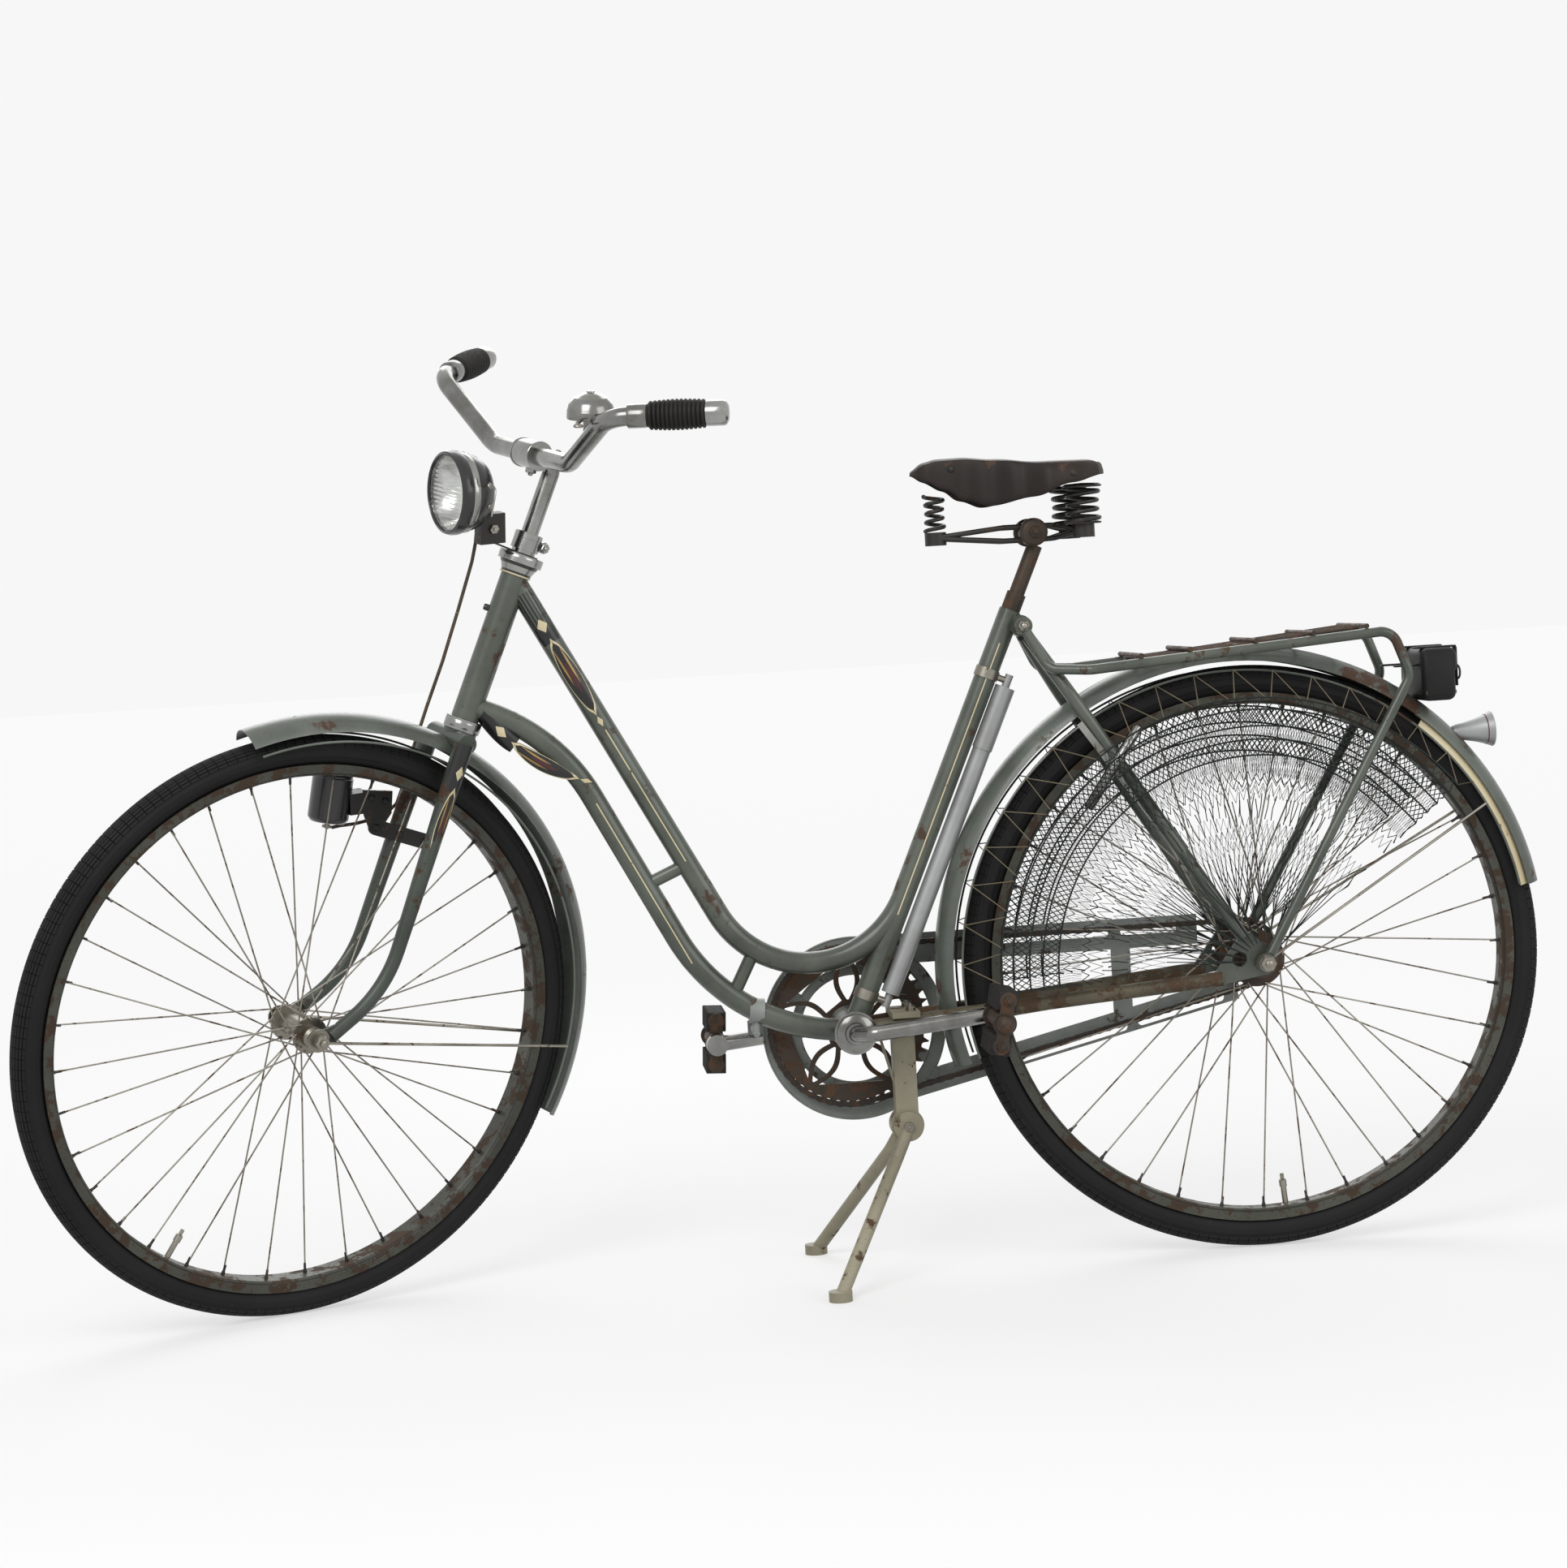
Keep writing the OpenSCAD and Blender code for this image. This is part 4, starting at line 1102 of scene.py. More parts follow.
SADDLE_WIDTH = (
    (0, 0.62), (0.05, 0.86), (0.14, 1.0), (0.3, 0.95), (0.45, 0.68), (0.6, 0.46), (0.75, 0.3),
    (0.9, 0.21), (1.0, 0.08)
)
SADDLE_TOP = (
    (0, -20), (0.03, -14), (0.08, -10.8), (0.33, -10.2), (0.56, -4.4), (0.73, -0.6), (0.86, -1),
    (0.93, -4.5), (1, -15)
)
SADDLE_EDGE = (
    (0, -31), (0.2, -40), (0.39, -54), (0.6, -62), (0.73, -53), (0.82, -40), (0.93, -28), (1, -19)
)


@dataclass
class Saddle:
    """Stretched leather top, its rivets and its coil springs."""

    thick: float = 4.0
    wire_r: float = 2.6

    @staticmethod
    def between(marks: Sequence[Point], t: float) -> float:
        """Eases a value from mark to mark.

        Args:
            marks: Places from 0 to 1 and the values there.
            t: 0 at the back, 1 at the nose.

        Returns:
            The value.
        """
        for (a, u), (b, v) in zip(marks, marks[1:]):
            if t <= b:
                k = (t - a) / (b - a)
                return u + (v - u) * k * k * (3 - 2 * k)
        return marks[-1][1]

    def skin(self, t: float, s: float) -> Vector:
        """Gives a point of the leather's outer face.

        Args:
            t: 0 at the back, 1 at the nose.
            s: From -1 at the right edge to 1 at the left one.

        Returns:
            The point.
        """
        low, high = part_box("saddle_leather")
        width = ((high.y - low.y) / 2 - 0.001) * self.between(SADDLE_WIDTH, t)
        top = self.between(SADDLE_TOP, t)
        shoulder = max(0.0, (abs(s) - 0.5) / 0.5) * math.pi / 2
        flat = min(abs(s), 0.5) / 0.5
        across = 0.84 * flat + 0.16 * math.sin(shoulder)
        crown = 3.0 * flat * flat
        drop = crown + max(
            0.0, top - self.between(SADDLE_EDGE, t) - crown
        ) * (1 - math.cos(shoulder))
        return Vector((
            low.x + 0.002 + (high.x - low.x - 0.004) * t,
            math.copysign(width * across, s),
            high.z - 0.001 + (top - drop) * MM,
        ))

    def top(self) -> None:
        """Shapes the leather over its frame and thickens it."""
        clear_selection()
        bpy.ops.mesh.primitive_grid_add(x_subdivisions=48, y_subdivisions=36, size=2)
        obj = bpy.context.object
        for v in obj.data.vertices:
            v.co = self.skin((v.co.x + 1) / 2, v.co.y)
        apply(obj, "SOLIDIFY", thickness=self.thick * MM, offset=-1)
        apply(obj, "SUBSURF", levels=1, render_levels=1)
        finish_piece(
            obj, "saddle_top", Look.HIDE, "frame", ["saddle_leather"], smooth=60
        )

    def rivets(self) -> None:
        """Sets rivets along the back edge and on both sides."""
        rivet = lathe(
            [(0, 2.2), (2.5, 1.8), (4.2, 0.4), (4.6, -1), (0, -1)], Vector(), Vector((0, 0, 1)), 14
        )
        spots = []
        places = [(0.015, s) for s in (-0.42, -0.21, 0.0, 0.21, 0.42)]
        places += [(t, s * side) for side in (-1, 1) for t, s in ((0.79, 0.74), (0.187, 0.86))]
        for t, s in places:
            at = self.skin(t, s)
            out = (self.skin(t + 0.01, s) - at).cross(self.skin(t, s + 0.01) - at)
            spots.append(aim(at, out.normalized()))
        finish_piece(
            repeated(rivet, spots), "saddle_rivets", Look.DARKSTEEL, "frame"
        )

    def coil(self, at: Vector, radius: float, tall: float, turns: float) -> list[Vector]:
        """Winds one spring.

        Args:
            at: Middle of its foot.
            radius: Radius of its wire's line, in millimetres.
            tall: Height in metres.
            turns: Number of turns.

        Returns:
            The wire's points.
        """
        steps = int(turns * 24)
        line = []
        for i in range(steps + 1):
            a = TURN * turns * i / steps
            waist = 1 - 0.18 * math.sin(math.pi * i / steps)
            line.append(
                at + Vector(
                    (
                        radius * MM * waist * math.cos(a), radius * MM * waist * math.sin(a),
                        tall * i / steps
                    )
                )
            )
        return line

    def springs(self) -> None:
        """Winds the two rear coils and the nose coil, and caps them."""
        low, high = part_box("saddle_springs")
        tall = high.z - low.z - 0.008
        rear = [Vector((low.x + 0.022, y, low.z + 0.002)) for y in (low.y + 0.022, high.y - 0.022)]
        coils = [self.coil(at, 21.0, tall, 4.0) for at in rear]
        nose = Vector((high.x - 0.013, 0, low.z + 0.002))
        coils.append(self.coil(nose, 12.0, tall, 4.0))
        wires = strands(coils, self.wire_r, 2)
        caps = [
            lathe(
                [(0, 0), (23, 0), (24, 1.5), (20, 4), (0, 5)], at + Vector((0, 0, tall)),
                Vector((0, 0, 1)), 28
            ) for at in rear
        ]
        feet = [
            lathe(
                [(0, -2), (21, -2), (22, 0), (12, 2), (0, 3)], at, Vector((0, 0, 1)), 28
            ) for at in rear
        ]
        finish_piece(
            joined([wires, *caps, *feet]), "saddle_coils", Look.DARKSTEEL, "frame",
            ["saddle_springs"]
        )

    def clamp(self) -> None:
        """Adds the ribbed clamp drum and its nuts at the top of the post."""
        low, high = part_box("seat_post")
        at = Vector((low.x + 0.013, 0, high.z + 0.012))
        parts = []
        for side in (-1, 1):
            out = LEFT * side
            drum = [
                (0, 18), (15, 18), (17, 20), (17, 27), (14, 29), (13, 31), (15, 32), (15, 35),
                (11, 37), (0, 37)
            ]
            parts.append(lathe(drum, at, out, 32))
            parts.append(hex_nut(at + out * 0.037, out, 15, 6))
        finish_piece(joined(parts), "saddle_clamp", Look.RUSTED, "frame")

    def build(self) -> None:
        """Models the whole saddle."""
        self.top()
        self.rivets()
        self.springs()
        self.clamp()


@dataclass
class Carrier:
    """Rack loops, tool bag and tail lamp."""

    def bag(self) -> None:
        """Sews the tool bag: a domed body, a flap, two straps and buckles."""
        low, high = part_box("tool_bag")
        size = high - low
        middle = (low + high) / 2
        body = block(
            Vector((size.x - 0.004, size.y - 0.004, size.z - 0.004)), Matrix.Translation(middle), 9,
            5
        )
        pick(body)
        for v in body.data.vertices:
            up = (v.co.z - low.z) / size.z
            swell = 1 + 0.05 * math.sin(math.pi * up)
            v.co.y = middle.y + (v.co.y - middle.y) * swell * (
                1 if up < 0.75 else 1 - (up - 0.75) * 0.25
            )
        flap = block(
            Vector((size.x, size.y * 0.94, size.z * 0.5)),
            Matrix.Translation(Vector((middle.x - 0.0015, middle.y, high.z - size.z * 0.25))), 10, 5
        )
        finish_piece(
            joined([body, flap]), "tool_bag_body", Look.BAG, "frame", ["tool_bag"],
            smooth=50
        )
        straps = []
        for y in (-0.032, 0.032):
            straps.append(
                block(
                    Vector((size.x + 0.006, 0.014, 0.0025)),
                    Matrix.Translation(Vector((middle.x, y, high.z + 0.0008))), 0.8
                )
            )
            straps.append(
                block(
                    Vector((0.0025, 0.014, size.z * 0.72)),
                    Matrix.Translation(Vector((low.x - 0.0025, y, high.z - size.z * 0.36))), 0.8
                )
            )
            straps.append(
                block(
                    Vector((0.03, 0.012, 0.0025)),
                    Matrix.Translation(Vector((high.x + 0.012, y, high.z - 0.02))), 0.8
                )
            )
        finish_piece(joined(straps), "tool_bag_straps", Look.BAG, "frame")
        buckles = []
        for y in (-0.032, 0.032):
            at = Vector((low.x - 0.005, y, middle.z + 0.002))
            ring = [
                at + Vector(
                    (0, 0.011 * math.cos(a), 0.008 * math.sin(a))
                ) for a in (TURN * i / 16 for i in range(16))
            ]
            buckles.append(ring)
        finish_piece(
            strands(buckles, 1.4, 1, closed=True), "tool_bag_buckles", Look.RUSTED,
            "frame"
        )
        stitches = []
        for x in (low.x + 0.004, high.x - 0.006):
            for side in (-1, 1):
                stitches.append(
                    [
                        Vector(
                            (x, middle.y + side * (size.y / 2 + 0.0002), low.z + 0.01 + 0.0045 * k)
                        ) for k in (0, 1)
                    ]
                )
        finish_piece(
            strands(stitches, 0.5), "tool_bag_stitches", Look.STRING, "frame"
        )

    def loops(self) -> None:
        """Bends the open rod loops that lie on the rack's cross rods."""
        low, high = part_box("rack_rods")
        slope = (high.z - low.z) / (high.x - low.x)

        def on_top(x: float, y: float) -> Vector:
            """Gives a point just over the cross rods."""
            return Vector((x, y, high.z - (x - low.x) * slope + 0.0025 - 0.006))

        lines = []
        for y0 in (-0.042, 0.0, 0.042):
            for end in (0, 1):
                front = high.x - 0.004 - 0.118 * end
                back = front - 0.15
                path = [on_top(back, y0 - 0.012)]
                path += [
                    on_top(
                        front - 0.012 + 0.012 * math.sin(a), y0 - 0.012 * math.cos(a)
                    ) for a in (math.pi * i / 10 for i in range(11))
                ]
                path.append(on_top(back, y0 + 0.012))
                lines.append(path)
        finish_piece(strands(lines, 2.4, 1), "rack_loops", Look.RUSTED, "frame")

    def lamp(self) -> None:
        """Turns the tail lamp's trumpet with its rolled rim and lens."""
        low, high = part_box("tail_lamp")
        back = Vector((low.x, 0, (low.z + high.z) / 2))
        ahead = Vector((0.05, 0, -0.002)).normalized()
        shell = [
            (18.5, 5), (20, 1), (21, 0.2), (21.6, 1.4), (20.4, 4), (18, 9), (14.5, 20), (11.4, 33),
            (9.6, 45), (8, 49), (0, 49)
        ]
        finish_piece(
            lathe(shell, back, ahead, 40), "tail_lamp_shell", Look.PUMP, "frame",
            ["tail_lamp"]
        )
        finish_piece(
            lathe([(0, 3), (8, 3.6), (14, 5), (18.6, 7.4), (18.6, 9), (0, 9)], back, ahead, 40),
            "tail_lamp_lens", Look.RED, "frame"
        )

    def build(self) -> None:
        """Models everything the rack carries."""
        self.bag()
        self.loops()
        self.lamp()


# ---------------------------------------------------------------- steering


HEAD_ANGLE = math.radians(67.2)
AXIS_FOOT = 1.234
FORE = Vector((math.sin(HEAD_ANGLE), 0, math.cos(HEAD_ANGLE)))
UP = Vector((-math.cos(HEAD_ANGLE), 0, math.sin(HEAD_ANGLE)))
HEAD_TOP = 959.57
HEAD_LOW = 762.57
CLAMP = mm(844.28, 0, 1014.84)


def on_axis(s: float, fore: float = 0.0) -> Vector:
    """Gives a point by its distance up the steering axis, bars straight.

    Args:
        s: Distance up the axis from the floor, in millimetres.
        fore: Distance in front of the axis, in millimetres.

    Returns:
        The point.
    """
    return Vector((AXIS_FOOT, 0, 0)) + UP * s * MM + FORE * fore * MM


@dataclass
class Bars:
    """Grips, their sleeves, the stem's bolts and the bell's lever."""

    rise: Vector = None
    end: Vector = None

    def __post_init__(self) -> None:
        """Places the left end of the handlebar."""
        lean = Vector((-75, 57, 0)).normalized()
        self.rise = CLAMP + mm(13, 208, 70)
        self.end = CLAMP + mm(-22, 236, 78) + lean * 92 * MM

    def grips(self) -> None:
        """Turns both ribbed grips with their chrome sleeves and end caps."""
        along = (self.end - self.rise).normalized()
        start = self.end - along * 92 * MM
        ribs = [(11.2, 0), (13, 0), (13.5, 2)]
        for k in range(13):
            z = 4 + k * 5.0
            swell = 1.6 * math.sin(math.pi * (k + 0.5) / 13)
            ribs += [
                (14.6 + swell, z - 1.3), (16.2 + swell, z), (16.2 + swell, z + 2.0),
                (14.6 + swell, z + 3.2)
            ]
        ribs += [(13.5, 67), (11.2, 68)]
        sleeve = [(11.2, -22), (13.2, -22), (13.8, -21), (13.8, -2), (13.2, 0), (11.2, 0)]
        cap = [(11.2, 68), (14.2, 68), (14.6, 70), (14.6, 88), (13.4, 91), (9, 93.5), (0, 94.5)]
        grip = lathe(ribs, start, along, 40)
        metal = joined([lathe(sleeve, start, along, 40), lathe(cap, start, along, 40)])
        finish_piece(
            joined([grip, mirrored(grip)]), "ribbed_grips", Look.RUBBER, "fork",
            ["grips"], STEER
        )
        finish_piece(
            joined([metal, mirrored(metal)]), "grip_sleeves", Look.CHROME, "fork",
            place_by=STEER
        )

    def hardware(self) -> None:
        """Adds the stem's nut, the clamp bolts, the ring's knurl and the bell's lever."""
        parts = []
        top = HEAD_TOP + 16
        parts.append(
            lathe(
                [(12.8, 14), (16, 14), (17.2, 15.2), (17.2, 21), (16, 22.2), (12.8, 22.2)],
                on_axis(top), UP, 40
            )
        )
        lug = on_axis(top + 11, -20)
        parts.append(hex_nut(lug + LEFT * 0.009, LEFT, 12, 5))
        parts.append(hex_nut(lug - LEFT * 0.009, -LEFT, 12, 5))
        under = CLAMP - mm(0, 0, 17)
        parts.append(hex_nut(under, Vector((0.2, 0, -1)), 13, 6))
        for side in (-1, 1):
            ring = [(11.1, 0), (17.4, 0), (17.9, 0.8), (17.9, 3.2), (17.0, 4), (11.1, 4)]
            parts.append(lathe(ring, CLAMP + LEFT * side * 0.018, LEFT * side, 40))
        expander = on_axis(top + 111 + 8)
        parts.append(hex_nut(expander, UP, 14, 6))
        finish_piece(
            joined(parts), "stem_hardware", Look.CHROME, "fork", place_by=STEER
        )
        bell = CLAMP + mm(2.5, 150.5, 61)
        dome = [
            (27.3, 0), (27.9, 1.2), (27.6, 8), (25.4, 16.6), (19.6, 23.6), (10, 28.6), (5, 30),
            (4.6, 31.6), (2, 32.4), (0, 32.6)
        ]
        finish_piece(
            lathe(dome, bell, Vector((0, 0, 1)), 48), "bell_dome", Look.CHROME,
            "fork", place_by=STEER
        )
        lever = strands(
            [[bell + mm(20, 14, 1), bell + mm(30, 22, -1), bell + mm(36, 34, -2)]], 2.2, 2
        )
        tip = lathe(
            [(0, -2), (5, -1.6), (6, 0), (5, 1.6), (0, 2)], bell + mm(36, 35, -2),
            Vector((0, 0, 1)), 16
        )
        finish_piece(
            joined([lever, tip]), "bell_lever", Look.NICKEL, "fork", place_by=STEER
        )

    def headset(self) -> None:
        """Turns the races of the head, with the cream line under the upper one."""
        low = on_axis(HEAD_LOW)
        cup = [
            (16.9, 0.6), (18.5, 0.6), (20.5, 0), (22.2, -3), (22.2, -11), (21, -13.8), (15, -13.9)
        ]
        finish_piece(lathe(cup, low, UP, 48), "lower_race", Look.CHROME, "frame")
        top = on_axis(HEAD_TOP)
        flare = [
            (17.2, -14), (18.2, -14), (18.8, -10), (21.6, -4), (23.7, -0.6), (23.7, 0), (15, 0)
        ]
        finish_piece(lathe(flare, top, UP, 48), "upper_race", Look.BLACK, "frame")
        finish_piece(
            lathe(
                [(17.6, -15), (18.9, -15), (19.1, -14.4), (19.1, -13.4), (18.4, -13)], top, UP, 48
            ),
            "head_line", Look.CREAM, "frame"
        )
        ring = [
            (13, 0.3), (24, 0.3), (26.6, 1), (27.2, 2.2), (26, 4), (27.2, 5.6), (27.2, 8.8),
            (26, 10.8), (14, 11)
        ]
        finish_piece(
            lathe(ring, top, UP, 64), "lock_ring", Look.CHROME, "fork",
            place_by=STEER
        )
        stub = lathe(
            [(0, 16.5), (4.2, 16.5), (4.2, 21), (3.4, 23), (0, 23.4)], on_axis(HEAD_TOP - 62), FORE,
            16
        )
        finish_piece(stub, "head_stub", Look.BLACK, "frame")

    def build(self) -> None:
        """Models everything at the bars and the head."""
        self.grips()
        self.hardware()
        self.headset()


@dataclass
class Headlamp:
    """Domed lamp with its bright band, fluted glass and bracket."""

    radius: float = 50.0
    tilt: float = math.radians(3)

    @property
    def back(self) -> Vector:
        """Middle of the lamp's back."""
        return on_axis(HEAD_TOP + 67, 73.6)

    @property
    def ahead(self) -> Vector:
        """Where the lamp looks."""
        return Vector((math.cos(self.tilt), 0, math.sin(self.tilt)))

    def turned(
        self, name: str, profile: Sequence[Point], look: Look, slot: str,
        stands_for: Sequence[str] = ()
    ) -> None:
        """Turns one ring of the lamp.

        Args:
            name: The piece's name.
            profile: Radius and depth pairs in millimetres.
            look: Its finish.
            slot: Not used.
            stands_for: CAD nodes it replaces.
        """
        finish_piece(
            lathe(profile, self.back, self.ahead, 72), name, look, "fork", stands_for, STEER,
            40
        )

    def glass(self) -> None:
        """Shapes the fluted front glass from a round cut of a ridged sheet."""
        clear_selection()
        bpy.ops.mesh.primitive_circle_add(vertices=96, radius=44.5 * MM, fill_type="TRIFAN")
        obj = bpy.context.object
        pick(obj)
        bpy.ops.object.mode_set(mode="EDIT")
        bpy.ops.mesh.select_all(action="SELECT")
        bpy.ops.mesh.subdivide(number_cuts=24)
        bpy.ops.object.mode_set(mode="OBJECT")
        for v in obj.data.vertices:
            r = v.co.length / (44.5 * MM)
            ridge = 0.5 * math.cos(TURN * v.co.y / (5.2 * MM)) * (1 - r ** 8)
            v.co.z = (4.6 * (1 - r * r) + ridge) * MM
        apply(obj, "SOLIDIFY", thickness=1.6 * MM, offset=-1)
        move_mesh(obj, aim(self.back + self.ahead * 51.5 * MM, self.ahead))
        finish_piece(
            obj, "lamp_glass", Look.GLASS, "fork", place_by=STEER, smooth=60
        )

    def build(self) -> None:
        """Models the lamp, its bracket tab and its terminal."""
        r = self.radius
        shell = [
            (0, 0.2), (8, 0.4), (0.42 * r, 1.4), (0.7 * r, 8.2), (0.86 * r, 18.5), (0.925 * r, 28),
            (0.935 * r, 33), (0.9 * r, 33)
        ]
        self.turned("lamp_shell", shell, Look.BLACK, "black_paint", ["headlamp"])
        band = [
            (0.9 * r, 32), (0.95 * r, 32), (0.965 * r, 33.2), (0.965 * r, 40), (0.95 * r, 41.2),
            (0.9 * r, 41.2)
        ]
        self.turned("lamp_band", band, Look.CHROME, "bright_steel")
        ring = [
            (0.9 * r, 41), (0.985 * r, 41), (r, 43), (r, 50), (0.97 * r, 54), (0.91 * r, 55.6),
            (0.885 * r, 54), (0.885 * r, 50)
        ]
        self.turned("lamp_ring", ring, Look.BLACK, "black_paint")
        bowl = [
            (0.885 * r, 50), (0.84 * r, 42), (0.72 * r, 32), (0.5 * r, 22), (0.25 * r, 16.5),
            (5, 15.5), (5, 24), (3, 29), (0, 30)
        ]
        self.turned("lamp_reflector", bowl, Look.MIRROR, "bright_steel")
        self.glass()
        side = Vector((0, 1, 0))
        rivets = []
        for deep, up in ((17, -12), (17, 12)):
            at = self.back + self.ahead * deep * MM + Vector((0, 0, up * MM))
            spread = math.sqrt((0.85 * r) ** 2 - up ** 2)
            rivets.append(
                lathe(
                    [(0, 3), (3.2, 2), (4.2, 0), (4.2, -3), (0, -3)], at + side * (spread - 1) * MM,
                    side - self.ahead * 0.5, 14
                )
            )
        rivets.append(
            lathe(
                [(0, -9), (2, -9), (2, -6), (5.5, -5), (5.5, -2), (7.5, -1), (8, 1), (0, 1)],
                self.back, self.ahead, 18
            )
        )
        finish_piece(
            joined(rivets), "lamp_rivets", Look.NICKEL, "fork", place_by=STEER
        )
        tab = [(-7, -6), (7, -6), (8, 0), (8, 26), (6, 33), (0, 36), (-6, 33), (-8, 26), (-8, 0)]
        slot = [(-3, 6), (3, 6), (3, 26), (0, 29), (-3, 26)]
        at = self.back + mm(8, 0, -27)
        lean = Matrix.Rotation(math.radians(-12), 4, "Y")
        upright = Matrix.Rotation(math.pi / 2, 4, "Z") @ Matrix.Rotation(math.pi / 2, 4, "X")
        turn = Matrix.Translation(at) @ lean @ upright
        finish_piece(
            plate(tab, [slot], 2.4, turn @ Matrix.Translation((0, 0, -0.010))), "lamp_tab",
            Look.CHROME, "fork", place_by=STEER
        )
        bolts = [
            hex_nut(self.back + mm(-4, 8, -44), LEFT, 12, 5),
            hex_nut(self.back + mm(-4, -8, -44), -LEFT, 12, 5)
        ]
        finish_piece(
            joined(bolts), "lamp_bolts", Look.NICKEL, "fork", place_by=STEER
        )


@dataclass
class Dynamo:
    """Bottle dynamo with its roller and the bolts of its strap."""

    foot: Vector = None
    along: Vector = None

    def __post_init__(self) -> None:
        """Places the bottle beside the front tyre."""
        self.foot = mm(1096, -54, 586)
        self.along = Vector((-10, -3, 50)).normalized()

    def build(self) -> None:
        """Turns the bottle and adds what is bolted to it."""
        bottle = [
            (0, -1), (19, -1), (21, 0), (24.2, 4), (24.5, 6), (24.5, 53), (23.6, 54), (23.6, 56),
            (24.5, 57), (24, 60), (21, 63), (14.5, 72), (11.5, 75), (0, 75)
        ]
        finish_piece(
            lathe(bottle, self.foot, self.along, 56), "dynamo_bottle", Look.BLACK,
            "fork", ["dynamo"], STEER
        )
        wheel = [(0, 75), (6, 75), (6, 77)]
        for k in range(6):
            wheel += [(10, 77.5 + k * 2.4), (10, 79 + k * 2.4), (9.2, 79.6 + k * 2.4)]
        wheel += [(8, 92), (0, 92)]
        knob = [
            (0, -9), (2.2, -9), (2.2, -7.5), (5.8, -7.5), (5.8, -4.5), (3, -4.5), (3, -1), (0, -1)
        ]
        metal = joined(
            [lathe(wheel, self.foot, self.along, 28), lathe(knob, self.foot, self.along, 14)]
        )
        finish_piece(metal, "dynamo_roller", Look.NICKEL, "fork", place_by=STEER)
        spots = [(1041, 575), (1010, 562), (978, 549), (1028, 606), (1046, 612)]
        parts = [
            lathe(
                [(0, 3.4), (3, 2.6), (4.6, 0.4), (4.6, -1), (0, -1)], mm(x, -36, z), LEFT, 14
            ) for x,
            z in spots
        ]
        finish_piece(
            joined(parts), "dynamo_rivets", Look.DARKSTEEL, "fork", place_by=STEER
        )


# ---------------------------------------------------------------- drive


# One tooth: the share of its pitch, and the height over the pitch circle.
TOOTH = (
    (
        -0.28, -3.6
    ), (-0.17, -0.4), (-0.05, 3.4), (0.05, 3.4), (0.17, -0.4), (0.28, -3.6), (0.5, -4.4),
)


